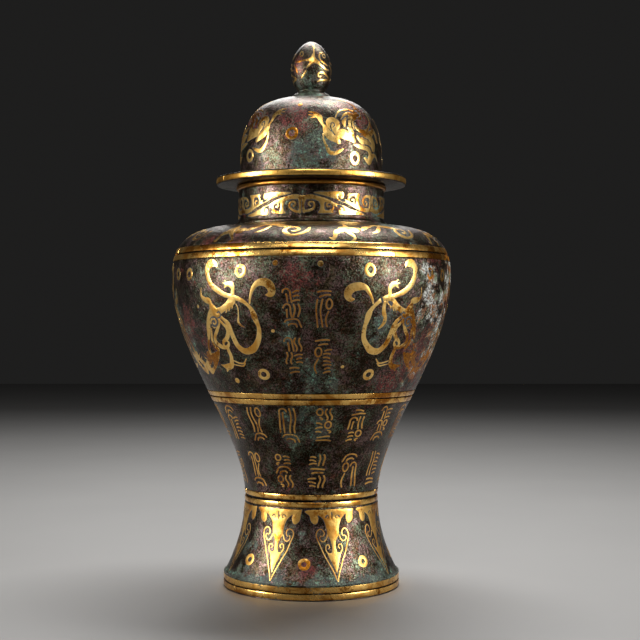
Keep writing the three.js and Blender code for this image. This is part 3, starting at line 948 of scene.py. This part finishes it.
DRAGON = {
    "strokes": [
        # Tail tip, body and the long loop back to the hip
        [(-4.5, 29, .8), (-5.6, 30.6, 3.4), (-9.8, 31.4, 5.6), (-12.7, 29.2, 4.6), (-13.4, 25.5, 3.6),
         (-12.2, 21.5, 3.8), (-9.3, 17.1, 3.9), (-5.1, 13.9, 3.7), (-.5, 11.7, 3.2), (4.2, 9.9, 3),
         (10.6, 8.5, 3), (14.1, 7.1, 2.8), (17.7, 3.9, 2.3), (19.8, 1.1, 3), (21.1, -2.6, 4.4),
         (21.9, -6.3, 3.6), (22.6, -9.5, 2.6), (22.5, -13.3, 2.9), (21.2, -17.9, 3.4), (18.3, -22.5, 4.2),
         (14.7, -25.8, 4.8), (10.8, -27.1, 4.3), (7.3, -26.2, 3.9), (4.6, -23.3, 3.8), (2.7, -19, 3.6),
         (1.7, -14.7, 3.4), (.9, -10.5, 3.6), (-.6, -6.8, 3), (-3.2, -4.5, 2.2), (-5.5, -3, 2)],
        # Raised hook
        [(19.2, 5, 1), (20.5, 9.6, 1.6), (22.4, 13.8, 2.3), (24.6, 16.8, 3.2), (28.2, 18.5, 4.6),
         (32.2, 18.1, 5.6), (34.9, 15.3, 5.8), (34.8, 12.2, 5.2), (32.9, 10.7, 3.2), (31, 10.6, .8)],
        # Fore leg and its toes
        [(7, 9.4, 3), (7.9, 14, 2.6), (7, 16.9, 3.8), (4.6, 17.9, 3.2), (2.5, 17.4, 2.2)],
        [(3.2, 18.2, 1.2), (2.6, 19.4, .8), (1.6, 20.3, .4)],
        [(2.7, 17.6, 1.2), (1.4, 18.2, .8), (0, 18.4, .4)],
        [(3.1, 17, 1.4), (2, 16, 1), (.9, 15.5, .6)],
        # Mane, with hair along its lower edge
        [(7.6, 9, 4), (6.6, 7.4, 5.5), (4.5, 5.4, 5.4), (.2, 2.8, 4.2), (-3.9, .8, 4), (-7.5, -.5, 4.5)],
        [(5, 5, 2), (6, 3, 1.4), (5.4, 1.6, .4)], [(3, 4, 2), (3.6, 1.6, 1.4), (2.8, .2, .4)],
        [(1, 3, 2), (1.2, .4, 1.4), (.2, -.8, .4)],
        # Horn and left strand
        [(-19.8, 16.2, .4), (-20.5, 12.9, 1.3), (-20, 9.7, 2.6), (-17.1, 7.7, 3.8), (-13.6, 7, 4.4),
         (-12.1, 4.3, 3.2), (-11.6, 1.5, 4.2), (-13.9, -2.4, 5.2), (-16.9, -6.2, 3.8), (-19.3, -12.1, 3.2),
         (-21.3, -18.1, 2.6), (-23.4, -23.6, 2.2), (-23.4, -27.7, 2.6)],
        [(-11.6, 3, 5), (-9, -1, 6), (-6.5, -3, 4)],
        [(-9, -4, 4), (-11.5, -8, 4), (-12.6, -9.5, 4)],
        [(-16.5, -11.4, 1.8), (-17.6, -18.8, 2.4), (-16.5, -23.5, 2.8), (-14.4, -26.2, 3)],
        # Two wavy strands between the head and the leg
        [(-6.5, -5, 2), (-7.5, -8.2, 1.8), (-11, -13.4, 2.6), (-14, -17.1, 2.6), (-13.8, -21.3, 2.8),
         (-11.1, -23.6, 2.9), (-8.1, -24.6, 2.2), (-5, -24.4, 2)],
        [(-7, -5.4, 2), (-4, -8.4, 2), (-1.5, -10.6, 2.8), (-1, -13.9, 2.8), (-3.4, -17.9, 3),
         (-6.9, -20.4, 2), (-7.4, -23.4, 2), (-4.9, -24.2, 2.6), (-2.6, -21.2, 1.6), (-3.9, -19.3, 1)],
        # Hind leg, toe and the two wires of its claw
        [(-4.7, -24.2, 2.6), (-4.3, -27.4, 2.6), (-3.5, -30.9, 2.8), (-4, -34.4, 3.2), (-5.1, -37, 3.6),
         (-8.7, -38.6, 4.4), (-12.2, -38.1, 2.4), (-14.8, -37.2, .8)],
        [(-8.8, -38.8, 3), (-9.9, -40.4, 2), (-10.6, -41.5, 1.2)],
        [(-2.7, -33.8, .6), (2.2, -35.2, 1), (5.9, -35.4, 1.1), (8.5, -32.5, .8)],
        [(-3.5, -36.3, .6), (1, -36.9, .8), (4.6, -37.4, 1.1), (6.9, -35.7, .8)],
        # Comb on the head
        [(-28, -31.7, 1.4), (-30.4, -30.4, .9), (-31.8, -29, .4)],
        [(-29.6, -34.2, 1.4), (-32, -32.6, .9), (-33.5, -31.4, .4)],
    ],
    "shapes": [[(-28, -28.5), (-25.4, -27.4), (-21.7, -28.9), (-16.9, -27.5), (-13.5, -27.7),
                (-15.3, -32.4), (-19.5, -37.4), (-24.5, -41.9), (-29.5, -44.8), (-32.3, -42.2),
                (-34.2, -39.8), (-32.8, -35.6), (-28.8, -32.5)]],
    "grooves": [ring(-11.7, -6.8, 3.9, 0),
                [(-7.4, -1.2, .9), (-5.6, -.2, 1), (-4.5, -1.9, 1), (-5.8, -4, 1), (-8, -4.6, .9)],
                [(-24.4, -35.6, 2), (-26, -37.8, 3), (-28, -38.8, 2)]],
    "curls": [curl(-11.9, -7.2, 190, -1, 3.1, .8, 1.4, .8)],
}
WHISKER = [(9, 5.1, .5), (10.3, 2.6, .7), (10.2, -2.5, .8), (9.1, -6.4, 1.7), (10.1, -8.6, 1.4),
           (12.8, -10.8, .4)]
BEARD = [(10.4, 6.2, 2.2), (11, 2.7, 2.6), (10.6, -.8, 2.8), (8.9, -4.3, 2.6), (8.6, -7.3, 2.6),
         (10.3, -9.9, 1.8), (12.8, -11.8, .5)]
WORN_THROUGH = [[(14, 9.8, 1.6), (12.4, 6, 1.6)], [(7.6, 6.4, 1.4), (5.8, 5.2, 2.6), (5.2, 3.8, 1.4)]]
whiskered = {**DRAGON, "strokes": [*DRAGON["strokes"], WHISKER]}
LOW_HOOK = [(19.2, 5, 1), (20.8, 8.4, 1.6), (23, 12, 2.4), (25.4, 14.9, 3.4), (29.2, 16, 4.8),
            (33.6, 15.4, 5.8), (36.6, 12.4, 6), (36.4, 9.2, 5.2), (34.4, 7.8, 3.2), (32.5, 7.8, .8)]
bearded = {**DRAGON, "strokes": [DRAGON["strokes"][0], LOW_HOOK, *DRAGON["strokes"][2:], BEARD],
           "grooves": [*DRAGON["grooves"], *WORN_THROUGH]}
THIRDS = (0, 120, 240)
DRAGON_TURN = 36
DRAGON_HEIGHT = 190
belly_places = [(side, DRAGON_TURN * (2 * side - 1) + turn, DRAGON_HEIGHT, side > 0)
                for turn in THIRDS for side in (0, 1)]
inlay("belly_dragons", [whiskered, bearded], jar_skin, belly_places, inlaid_gold)


# Gold rings and dots
# Small rings and dots of gold wire and sheet fill the ground between the dragons, a few of them on each
# side, set in like the dragons.
belly_spots = [(0, -27.4, 215.8), (0, -55.6, 214.6), (0, -22.9, 149.4), (0, 22.6, 216.1), (0, 53.3, 215.4),
               (1, -13.5, 220.2), (1, 3.4, 219.5), (1, -39.2, 144.8), (2, -15.6, 177.5), (2, 14.2, 154.5),
               (2, -51.7, 193.7), (0, 28, 149)]
belly_spots += [(kind, angle + turn, height) for turn in THIRDS[1:] for kind, angle, height in belly_spots]
SPOTS = [{"rings": [ring(0, 0, 4.2, 2)]}, {"rings": [ring(0, 0, 1.9, 0)]}, {"rings": [ring(0, 0, 1.2, 0)]}]
inlay("belly_rings", SPOTS, jar_skin, [(*spot, False) for spot in belly_spots], inlaid_gold)


# Marks on the belly and under it
# Rows of marks in thin gold wire stand in columns: two on the front of the belly, and two rows right round
# the lower body. Each mark is a loose cluster of canes, waves, bars and loops.
MARK_WIRE = 1.05
MARK_PITCH = 2.35
MARK_TIER_GAP = 1.3


def canes(random, wide, tall):
    """Nested canes: each rises a little, bends over in half an ellipse and runs down to the foot."""
    strokes, side = [], random.choice((-1, 1))
    turn = np.linspace(0, math.pi, 8)
    for inner in range(2 if wide > 4.4 else 1):
        half, rise = wide / 2 - MARK_PITCH * inner, 2.6 - MARK_PITCH * 0.55 * inner
        top = rise - 2.6 - MARK_PITCH * 0.55 * inner - 0.6 * inner
        x = np.concatenate([[-half], -half * np.cos(turn), [half * 1.05], [half * 1.25]])
        y = np.concatenate([[-2.4 - 1.6 * inner], rise * np.sin(turn) + top - rise, [-tall * 0.6], [-tall]])
        strokes.append(np.column_stack([side * x, y]))
    return strokes


def waves(random, wide, tall):
    """Two lines that sway side by side on their way down."""
    share, sway = np.linspace(0, 1, 8), random.choice((-1, 1)) * random.uniform(0.5, 0.9)
    drift = sway * np.sin(share * 2 * math.pi * random.uniform(0.6, 1))
    return [np.column_stack([side * wide * 0.3 + drift, -tall * share]) for side in (-1, 1)]


def bars(random, wide, tall):
    """Short arched bars one below another, every one tilted its own way."""
    count = max(2, round(tall / (MARK_PITCH * 1.15)))
    share, strokes = np.linspace(-1, 1, 5), []
    for level in range(count):
        tilt, half = random.uniform(-0.5, 0.5), wide / 2 * random.uniform(0.55, 1)
        y = -(level + 0.5) * tall / count - 0.45 * share ** 2 + tilt * share
        strokes.append(np.column_stack([half * share + random.uniform(-0.4, 0.4), y]))
    return strokes


def loop(random, wide, tall):
    """An oval loop, and under it a tail that swings to one side and back."""
    turn, share = np.linspace(0, 2 * math.pi, 17), np.linspace(0, 1, 7)
    high = min(wide * 0.62, tall * 0.3)
    oval = np.column_stack([(wide / 2 - 0.5) * np.sin(turn), high * np.cos(turn) - high])
    swing = random.choice((-1, 1)) * wide * 0.36
    tail = np.column_stack([swing * np.sin(share * 2.6), -2 * high - 1.6 - (tall - 2 * high - 1.6) * share])
    return [oval, tail]


def mark(random, tall):
    """One cluster: two or three tiers, each a flat part across or two unlike parts side by side."""
    kinds, strokes, top = [canes, waves, bars, loop], [], tall / 2
    tiers = [0.26, 0.74] if random.random() < 0.5 else [0.36, 0.26, 0.38]
    for tier in random.permutation(tiers):
        high = tier * tall - MARK_TIER_GAP
        if tier < 0.3:
            parts = [((bars, canes)[random.integers(2)], 0, 9.5)]
        else:
            first, second = random.permutation(4)[:2]
            parts = [(kinds[first], -3, 5), (kinds[second], 3, 5)]
        for kind, middle, wide in parts:
            strokes += [path + (middle, top) for path in kind(random, wide, high)]
        top -= high + MARK_TIER_GAP
    return {"strokes": [np.column_stack([path, np.full(len(path), MARK_WIRE)]) for path in strokes]}


def even_row(count, first, height):
    """Evenly spaced angles right round the jar, from the first one on, each with the row's height."""
    return [(first + 360 / count * number, height) for number in range(count)]


def marks(name, cells, tall, seed, finish):
    """One different mark in each cell, given by angle and height."""
    random = np.random.default_rng(seed)
    figures = [mark(random, tall) for _ in cells]
    inlay(name, figures, jar_skin, [(index, *cell, False) for index, cell in enumerate(cells)], finish)


mark_gold = gold_finish("wire_gold", (0.8, 0.43, 0.1), (0.4, 0.17, 0.03), 0.3, 0.03)
# A darker copy of the wire gold for the marks on the belly's panels: painted shade.
shaded_mark_gold = gold_finish("shaded_wire_gold", (0.42, 0.2, 0.045), (0.22, 0.09, 0.02), 0.34, 0.05)
PANEL_ROWS = (191.3, 160.9)
PANEL_COLUMNS = (-7.6, 5)
panel_cells = [(angle + turn, height) for turn in THIRDS for height in PANEL_ROWS for angle in PANEL_COLUMNS]
marks("panel_marks", panel_cells, 26, 41, shaded_mark_gold)
marks("upper_row_marks", even_row(17, 7.4, 114.9), 26, 42, mark_gold)
marks("lower_row_marks", even_row(14, 4.4, 83.7), 24.5, 43, mark_gold)


# Pendants round the foot
# Eight tapering pendants of sheet gold hang point down from the waist belt, each inside a frame of gold wire
# with curled shoulders. A ring lies between one pendant and the next.
PENDANT_EDGE = [(16.1, .4), (15.4, -3.3), (14.9, -6.6), (12.6, -9), (10.6, -8.4), (9.8, -5.4), (10.2, -3),
                (8.1, -4.1), (6, -6.4), (4.8, -9.7), (4.1, -13), (3.8, -16), (2.9, -17.6), (1.9, -19.7),
                (1.3, -22.5), (1.3, -26), (2, -28.2), (4.4, -28.6), (2.3, -34.5), (.2, -41.6)]
PENDANT_WIRES = [
    [(.1, -47.3, .7), (2.2, -40.7, .7), (4.9, -34.1, .7), (8.2, -26.5, .7), (10.7, -19.8, .7),
     (11.5, -16, .7), (10.4, -13.2, .7), (8.4, -12.1, .7), (6.6, -13.4, .7), (6.2, -15.4, .7),
     (7.4, -17, .7)],
    [(3.9, -16.3, .9), (5.2, -19.2, .8), (7.1, -20.6, .7), (8.9, -19.8, .7), (9.5, -17.8, .7),
     (8.5, -16.6, .7)],
    [(4.1, -28.4, .8), (5.7, -25.6, .7), (5.2, -22.9, .7), (3.6, -22.7, .7), (2.9, -24.3, .6),
     (3.9, -25.4, .6)],
]


def mirrored(paths):
    """Paths and their images in the upright middle line."""
    flipped = [[(-x, y, *width) for x, y, *width in path] for path in paths]
    return [*paths, *flipped]


pendant_sides = PENDANT_EDGE + [(-x, y) for x, y in reversed(PENDANT_EDGE)]
PENDANT_SLIT = [(0, -1.5, .9), (.2, -3.5, 1.2), (-.1, -6, .6)]
PENDANT_EYE = curl(3.4, -4.6, 0, .8, 1.6, .5, .7, .5)
PENDANT = {"strokes": mirrored(PENDANT_WIRES), "shapes": [pendant_sides],
           "grooves": [PENDANT_SLIT, *mirrored([PENDANT_EYE])]}
# The pendants' gold is a darker copy of the inlaid gold: painted shade that tones down their highlights.
shaded_foot_gold = gold_finish("shaded_foot_gold", (0.66, 0.39, 0.1), (0.36, 0.15, 0.022), 0.32, 0.01)
foot_places = [(0, *place, False) for place in even_row(8, -27.6, 57.5)]
foot_places += [(1, *place, False) for place in even_row(8, -5.2, 23)]
inlay("foot_pendants", [PENDANT, {"rings": [ring(0, 0, 4.2, 1.8)]}], jar_skin, foot_places, shaded_foot_gold)


# Scrolls round the neck
# A band of gold scrollwork runs round the neck in wedges that stand up and hang down by turns, each with a
# pair of volutes. A hair line of dark bronze parts one wedge from the next.
neck_ends = np.array([(neck_radius, neck_foot_height + NECK_BEAD), (neck_radius, mouth_height)])
neck_skin = Skin(evenly(neck_ends, 2))
NECK_BAND_HEIGHT = 261.8
NECK_HALF_PERIOD = 60
NECK_WEDGE_SHIFT = 1.2
NECK_FIGURE = {
    "strokes": [[(.4, 4.2, 2.6), (6.1, 4.3, 3.2), (11.8, 3.1, 3), (17.8, 1.3, 2.4), (24.2, -1.1, 2.2)]],
    "shapes": [[(23, .4), (34.4, -3.2), (45.7, -6.2), (34.4, -6.8), (26.4, -6.6), (26, -4.2), (24.8, -1.8)],
               [(16.6, 2.5), (10, 4), (11.4, 1.3), (12.5, -1.1), (12.3, -3.8), (11.4, -6.2), (21, -5.9),
                (21.6, -4.8), (16.8, -4.4), (15.2, -3), (14.8, 0)],
               [(3.3, 3.6), (.5, 4.7), (.5, -5.7), (2.3, -5.5), (1.7, -2), (2.3, 1.3)]],
    "grooves": [ring(7.2, -1.7, 4.6, 0), ring(18, -2.2, 3.2, 0),
                [(24.2, -1.2, 1.8), (27, -2.2, 2), (28.4, -3.8, 1.6)]],
    "curls": [[(1.1, -5, 1.7), (4.7, -4.8, 1.6), (7.3, -3.4, 1.5), (8.4, -1.2, 1.4), (7.4, .8, 1.3),
               (5.3, 1, 1.2), (4.3, -.6, 1.1), (5.6, -1.7, 1)],
              [(13.2, -5.5, 1.6), (18.5, -5.1, 1.5), (20.9, -2.8, 1.4), (20.4, -.4, 1.3), (18.1, .7, 1.2),
               (16.3, -.6, 1.1), (16.8, -2.2, 1), (18.1, -2, 1)],
              [(25.8, -6.2, 1.5), (25.3, -4.2, 1.3), (26.5, -3, 1.2), (27.8, -3.8, 1)]],
}


def turned_over(paths):
    """Paths turned half round about the middle of the gap between two wedges."""
    shift = math.radians(NECK_HALF_PERIOD) * neck_radius
    return [[(shift - x, NECK_WEDGE_SHIFT - y, *width) for x, y, *width in path] for path in paths]


neck_figure = {part: mirrored(paths) for part, paths in NECK_FIGURE.items()}
upper_figure = {part: turned_over(paths) for part, paths in neck_figure.items()}
neck_places = [(which, -7 + 2 * NECK_HALF_PERIOD * number, NECK_BAND_HEIGHT, False) for number in range(3)
               for which in (0, 1)]
inlay("neck_scrolls", [neck_figure, upper_figure], neck_skin, neck_places, inlaid_gold)


# Animals on the shoulder
# Seven long animals of sheet gold run round the shoulder, one behind another. Their tails end in spirals, and
# ribbons curl from their backs.
SHOULDER_ANIMAL = {"strokes": [
    [(28.5, 4.5, 3), (28, 2.5, 2.4), (28, -1, 2.6), (31, -4.5, 2.6), (36, -6, 2), (40.5, -4.5, 2.2),
     (42.5, -1.5, 2.6), (42.5, 2.5, 2)],
    [(28, 2, 1.5), (30.5, 3.5, 1.6), (34, 3.5, 1.6), (37, .5, 1.8), (35, -1.5, 2), (33, -1, .8)],
    [(14, 9, 2), (21.5, 7, 4), (28.5, 4.5, 3)],
    [(9, -2.5, 1.2), (12, -1, 2.2), (14, 1.5, 3), (16, 5.5, 2)],
    [(1.5, 0, 1.2), (4, 3, 4), (7.5, 5.5, 3.4), (11.5, 8, 2.5), (15, 9, 2)],
    [(-5.5, -2, 2), (-3.5, -.5, 5), (-1, 1.5, 4)],
    [(-1, 1.5, 4), (-6.5, 1, 6), (-11, 2, 5), (-13.5, -1, 4)],
    [(-9, 2.5, 4), (-8.5, 5.5, 3), (-8.5, 9, 1.2)],
    [(-10.5, -.5, 4), (-7.5, -5.5, 2.4), (-6, -8, 1.8), (-7, -10, 1.6), (-9, -10.5, .6)],
    [(-13.5, -.5, 3.6), (-16, -2, 3.6), (-18, -4.5, 2.6), (-19, -7, 2.2), (-20.5, -9, 2), (-22.5, -8, .8)],
], "grooves": [curl(-6.5, .8, 0, .9, 2, .6, .6, .5)]}
shoulder_places = [(0, *place, False) for place in even_row(7, -30, 242)]
inlay("shoulder_animals", [SHOULDER_ANIMAL], jar_skin, shoulder_places, inlaid_gold)


# Lid
# The lid is a second hollow casting: a flat flange that rests on the mouth, a domed cap with steep sides, and
# a spigot below that centres it in the neck. A bud-shaped knob stands on a small moulded foot.
LID_WALL = 3.5
DOME_RADIUS = 49.7
DOME_SQUARENESS = 3.24
DOME_TOP_BELOW_TIP = 40.4
SPIGOT_WALL = 3
SPIGOT_GAP = 1
BUD_RADIUS = 14.4
BUD_BELLY_RISE = 20.4
BUD_TIP_SQUARENESS = 1.75
BUD_FOOT_SQUARENESS = 1.5
KNOB_NECK_RADIUS = 9.4
KNOB_NECK_RISE = 5.4
KNOB_FOOT_RADIUS = 13.5
FLANGE_THICKNESS = 5.1
FLANGE_ROUNDING = 0.6

lid_low, lid_high = span("lid", 2)
flange_radius = span("lid_rim_strip", 0)[1]
flange_bottom = mouth_height + STRIP_GAP
flange_top = flange_bottom + FLANGE_THICKNESS
dome_top = lid_high - DOME_TOP_BELOW_TIP
bud_middle = dome_top + BUD_BELLY_RISE


def superarc(width, rise, squareness, steps=400):
    """Quarter of a superellipse from its side to its top: cosine and sine raised to 2 over the squareness."""
    turn = np.linspace(0, math.pi / 2, steps)
    sine, cosine = np.sin(turn), np.maximum(np.cos(turn), 0)
    return np.column_stack([width * cosine ** (2 / squareness), rise * sine ** (2 / squareness)])


def dome_outline(inset=0):
    return superarc(DOME_RADIUS - inset, dome_top - flange_top - inset, DOME_SQUARENESS) + (0, flange_top)


def bud_outline():
    """The knob above its neck: a flaring foot, then a pointed upper part."""
    foot = superarc(BUD_RADIUS - KNOB_NECK_RADIUS, BUD_BELLY_RISE - KNOB_NECK_RISE, BUD_FOOT_SQUARENESS)
    foot = foot[::-1] * (1, -1) + (KNOB_NECK_RADIUS, bud_middle)
    tip = superarc(BUD_RADIUS, lid_high - bud_middle, BUD_TIP_SQUARENESS) + (0, bud_middle)
    return np.vstack([foot, tip[1:]])


dome_skin = Skin(dome_outline())
bud_skin = Skin(bud_outline())


def knob_foot():
    """Moulded foot of the knob: it flares from the dome, rounds over and draws in to the neck."""
    neck = dome_top + KNOB_NECK_RISE
    spread = arc((KNOB_FOOT_RADIUS + 1.5, dome_top - 0.15), (KNOB_FOOT_RADIUS + 0.4, dome_top + 0.4),
                 (KNOB_FOOT_RADIUS + 0.2, dome_top + 1.6), (KNOB_FOOT_RADIUS - 0.8, dome_top + 2.6), 9)
    drawn = arc((KNOB_FOOT_RADIUS - 1.2, dome_top + 2.9), (KNOB_NECK_RADIUS + 0.4, dome_top + 3.4),
                (KNOB_NECK_RADIUS, neck - 0.8), (KNOB_NECK_RADIUS, neck), 9)
    return np.vstack([spread, drawn])


def flange_outline():
    """Half outline of the flange, from below round its edge, with rounded corners and the strip's channel."""
    low, high = span("lid_rim_strip", 2)
    low, high = low - STRIP_GAP, high + STRIP_GAP
    channel, corner = flange_radius - CHANNEL_DEPTH, flange_radius - FLANGE_ROUNDING
    turn = np.linspace(0, math.pi / 2, 5)
    out, up = FLANGE_ROUNDING * np.sin(turn), FLANGE_ROUNDING * np.cos(turn)
    lower_edge = np.column_stack([corner + out, flange_bottom + FLANGE_ROUNDING - up])
    upper_edge = np.column_stack([corner + up, flange_top - FLANGE_ROUNDING + out])
    groove = [(flange_radius, low), (channel, low), (channel, high), (flange_radius, high)]
    return np.vstack([lower_edge, groove, upper_edge])


def lid_mesh():
    """The lid's points and faces: inside of the dome, spigot, flange, outside of the dome, knob."""
    inside = resampled(dome_outline(LID_WALL)[::-1], 4)
    spigot = neck_radius - WALL - SPIGOT_GAP
    rest = [(spigot - SPIGOT_WALL, flange_bottom), (spigot - SPIGOT_WALL, lid_low), (spigot, lid_low),
            (spigot, flange_bottom)]
    fillet = [(flange_radius - 0.7, flange_top), (DOME_RADIUS + 1.6, flange_top),
              (DOME_RADIUS + 0.5, flange_top + 0.3)]
    rows = [*inside, *rest, *flange_outline(), *evenly(np.array(fillet), 3)[1:]]
    for skin, first, least in ((dome_skin, 1.2, KNOB_FOOT_RADIUS + 2), (bud_skin, 0.2, 1)):
        if skin is bud_skin:
            rows += [*knob_foot()]
        places = np.array(skin.across(np.arange(first, skin.run[-1], SKIN_STEP)))
        rows += [weathered_row(place) for place in places.T[places[0] > least]]
    return turned_mesh([*rows, (0, lid_high)])


add_piece("lid_casting", *lid_mesh(), bronze, "bronze", "lid")


# Gold strip on the flange
# A beaten gold strip is let into a channel round the flange's edge. Its face is stained brown in places.
FLANGE_SEAMS = (-64, 40, 165)
FLANGE_STRIP_CROWN = 0.25


def rim_strip_mesh():
    """The strip's section is carried round the flange, and it follows part of the casting's unevenness."""
    low, high = span("lid_rim_strip", 2)
    angle = seamed_columns(FLANGE_SEAMS, flange_radius)
    share, lifts = arched([0, 0, 0.05, 0.15, 0.35, 0.5, 0.65, 0.85, 0.95, 1, 1], FLANGE_STRIP_CROWN)
    dip = seam_dip(angle, FLANGE_SEAMS, flange_radius)
    rows = []
    for height, lift in zip(between(low, high, share), lifts):
        uneven = unevenness(turned_place(flange_radius, height, angle)) * 0.6
        rows.append((flange_radius + lift + uneven - (dip if lift > -STRIP_DEPTH else 0), height))
    return turned_mesh([*rows, rows[0]], angle)


rim_gold = gold_finish("rim_gold", (0.9, 0.52, 0.12), (0.45, 0.2, 0.03), 0.22, 0.03)
add_piece("rim_strip_ring", *rim_strip_mesh(), rim_gold, "gold", "lid_rim_strip")


# Animals on the lid
# Four winged animals of sheet gold stride round the dome in two facing pairs, inlaid as the dragons are,
# with rings and dots between them.
LID_ANIMAL = {"strokes": [
    [(-28.5, 9.5, .8), (-26, 9.5, 1.4), (-23.5, 8.5, 1.8)], [(-29, 7, .8), (-26.5, 7, 1.3), (-24, 7, 1.8)],
    [(-28, 4.5, .8), (-26, 5.5, 1.3), (-24, 6.5, 1.8)],
    [(-24, 7.5, 4), (-22.5, 5.5, 4), (-22, 2.5, 2.4), (-21, -.5, 1.6), (-20, -2, 3), (-19.5, -4.5, 4.5),
     (-17.5, -7.5, 6), (-14.5, -9, 6), (-11.5, -12, 3)],
    [(-14, -6.5, 5), (-10.5, -6.5, 6), (-6.5, -6.5, 7), (-2, -8, 6), (.5, -10.5, 3)],
    [(-2, -8, 6), (-1, -3.5, 5), (0, .5, 5), (0, 4.5, 5), (4.5, 8.5, 7), (9.5, 7.5, 4)],
    [(-11, 5.5, 1), (-8.5, 9, 1.4), (-4.5, 11.5, 1.6), (.5, 13, 1.4), (4.5, 12.5, 1.2), (8.5, 15, 1.4)],
    [(-7.5, 4, .8), (-5, 7, 1.4), (-1, 9.5, 2), (5, 11, 3)],
    [(-4.5, 5.5, 2.4), (-6, 2, 3), (-5, -.5, 2), (-3, -1.5, 1)],
    [(3.5, 2.5, .8), (4, -1, 2.2), (8, -3, 3), (14, -2, 2.4), (18, 1.5, 1.6), (21, 6.5, .8)],
    [(-1.5, 24, 1), (5.5, 22, 1.6), (9, 16, 2.4), (11.5, 11.5, 2), (11, 7.5, 1.6)],
    [(15, 12.5, 1), (20, 11, 1.4), (21, 6, 1.6), (21, 1, 2.4), (25.5, -2.5, 3), (27.5, -8, 3)],
    [(4.5, -7.5, 3), (8.5, -8.5, 7), (16, -5, 5), (23.5, -.5, 3)],
    [(10, -9, 5), (17, -9, 8), (20, -11.5, 7), (20.5, -14, 4)],
    [(.5, -13, .8), (4, -13.5, 2.4), (9.5, -14, 3), (14.5, -15.5, 3.4), (16.5, -18.5, 4), (16, -21, 4.5),
     (14.5, -23.5, 4), (10.5, -21.5, 1.4)],
    [(16.5, -21, 4), (21, -18, 2.6), (24.5, -19.5, 1.4), (26.5, -22, .8)],
    [(-21.5, -7, .8), (-21.5, -11, 1.2), (-20.5, -15, 2), (-18, -18.5, 3), (-14.5, -19.5, 2.6),
     (-10.5, -18, 2), (-8, -16.5, .6)],
], "rings": [ring(-14, .5, 5, 0)], "grooves": [
    [(-13.5, -7, .8), (-15.5, -4, .9), (-16, -1.5, .9), (-15, 1, .9), (-13.5, 1, .8), (-13, -.5, .8),
     (-14, -1.5, .7)],
    [(9.6, -7, .7), (15, -8.4, .8), (18, -11, .7)],
    [(-11, 4.4, .6), (-8.1, 8.2, 1), (-3.5, 10.7, 1.1), (1.6, 11.2, 1), (4.2, 9.7, .6)],
    [(-9.2, .1, .6), (-7, 4, 1), (-3.4, 6.7, 1.1), (0, 6.8, .7)],
    [(-4.6, -2.6, .8), (-4.3, 1.3, 1.2), (-2.1, 4.5, 1), (.7, 5.6, .6)],
    [(4, 1.5, 2), (7, 1.5, 4.6), (10.5, 2.6, 5.6), (12.8, 4.6, 3.4)],
    [(1.7, 5.5, .6), (.2, .8, 1), (1.7, -4.2, 1), (2.1, -8.5, .6)],
    [(3.2, -5, .6), (6.8, -6.9, .9), (8.7, -6, .9), (12.2, -8, .6)],
    [(11.3, 12.6, .6), (10.3, 8.8, 1), (6, 6.4, .6)],
]}
lid_places = [(0, 35, 315, False), (0, -62.5, 318, True), (0, 215, 315, False), (0, 113, 315, True)]
lid_places += [(1, 36.4, 293.3, False), (1, -15.5, 308.9, False), (1, -57.5, 296.5, False),
(2, -11, 329.2, False),
               (1, 164, 311.8, False), (1, 118, 297, False), (1, 216, 294, False),
               (2, 164, 329.8, False)]
SPOTS_ON_LID = [{"rings": [ring(0, 0, 4.5, 2.3)]}, {"rings": [ring(0, 0, 1.7, 0)]}]
inlay("lid_animals", [LID_ANIMAL, *SPOTS_ON_LID], dome_skin, lid_places, inlaid_gold)


# Scrolls on the knob
# Thin gold scrolls, three alike, branch over the bud from its widest part to its tip, and are set in like
# the rest.
KNOB_SCROLL = {"strokes": [
    [(.5, 4.5, 3.4), (1, 8, 1.6), (1.2, 11.5, 1), (1, 15.5, 1), (1, 20.5, 1.6)],
    [(-.2, 4.7, 3.4), (-3, 4.5, 2), (-6.2, 4.2, 1.4), (-10, 4, 1.6), (-14, 4.2, .8)],
    [(1, 4.5, 3.4), (4, 2.5, 1.8), (7.2, .5, 1.3), (10.5, -1.2, 1.3), (14, -1.5, .6)],
    [(-.2, 4, 3.4), (-1.5, 1.5, 2), (-3.7, -.7, 1)],
    [(3.7, -10.5, .8), (6.2, -9.2, 1.2), (10.5, -8.5, 1.5), (14.2, -7.5, 1.8), (12, -5.5, 1.2),
     (8.7, -4, 1.2), (6, -4, 1.2), (3.7, -5.5, 1.2), (4.5, -7.2, 1.2), (6, -6.7, .7)],
    [(6, 10.5, .7), (5, 7.5, 1.2), (6.2, 4.5, 1), (9, 3, 1), (12, 1.5, .8)],
    [(-15.5, 2.2, 1), (-12.5, -.7, 1.2), (-11.5, -3.7, 1)],
    [(-4, -2.7, 1.4), (-6, -5.7, 1.2), (-8, -8, .8)],
    curl(8.8, 8.6, 160, -1.2, 2.6, .8, 1.1, .7),
], "rings": [ring(-7.7, 9.7, 2.4, 1.3, 0.7)], "shapes": [
    [(-4.6, 5), (-1.4, 6.6), (.6, 10), (2.4, 6), (5.4, 3), (2, 2.4), (-1.6, 1), (-2.4, 3.2)],
]}
knob_places = [(0, *place, False) for place in even_row(3, 3, 360)]
inlay("knob_scrolls", [KNOB_SCROLL], bud_skin, knob_places, inlaid_gold)
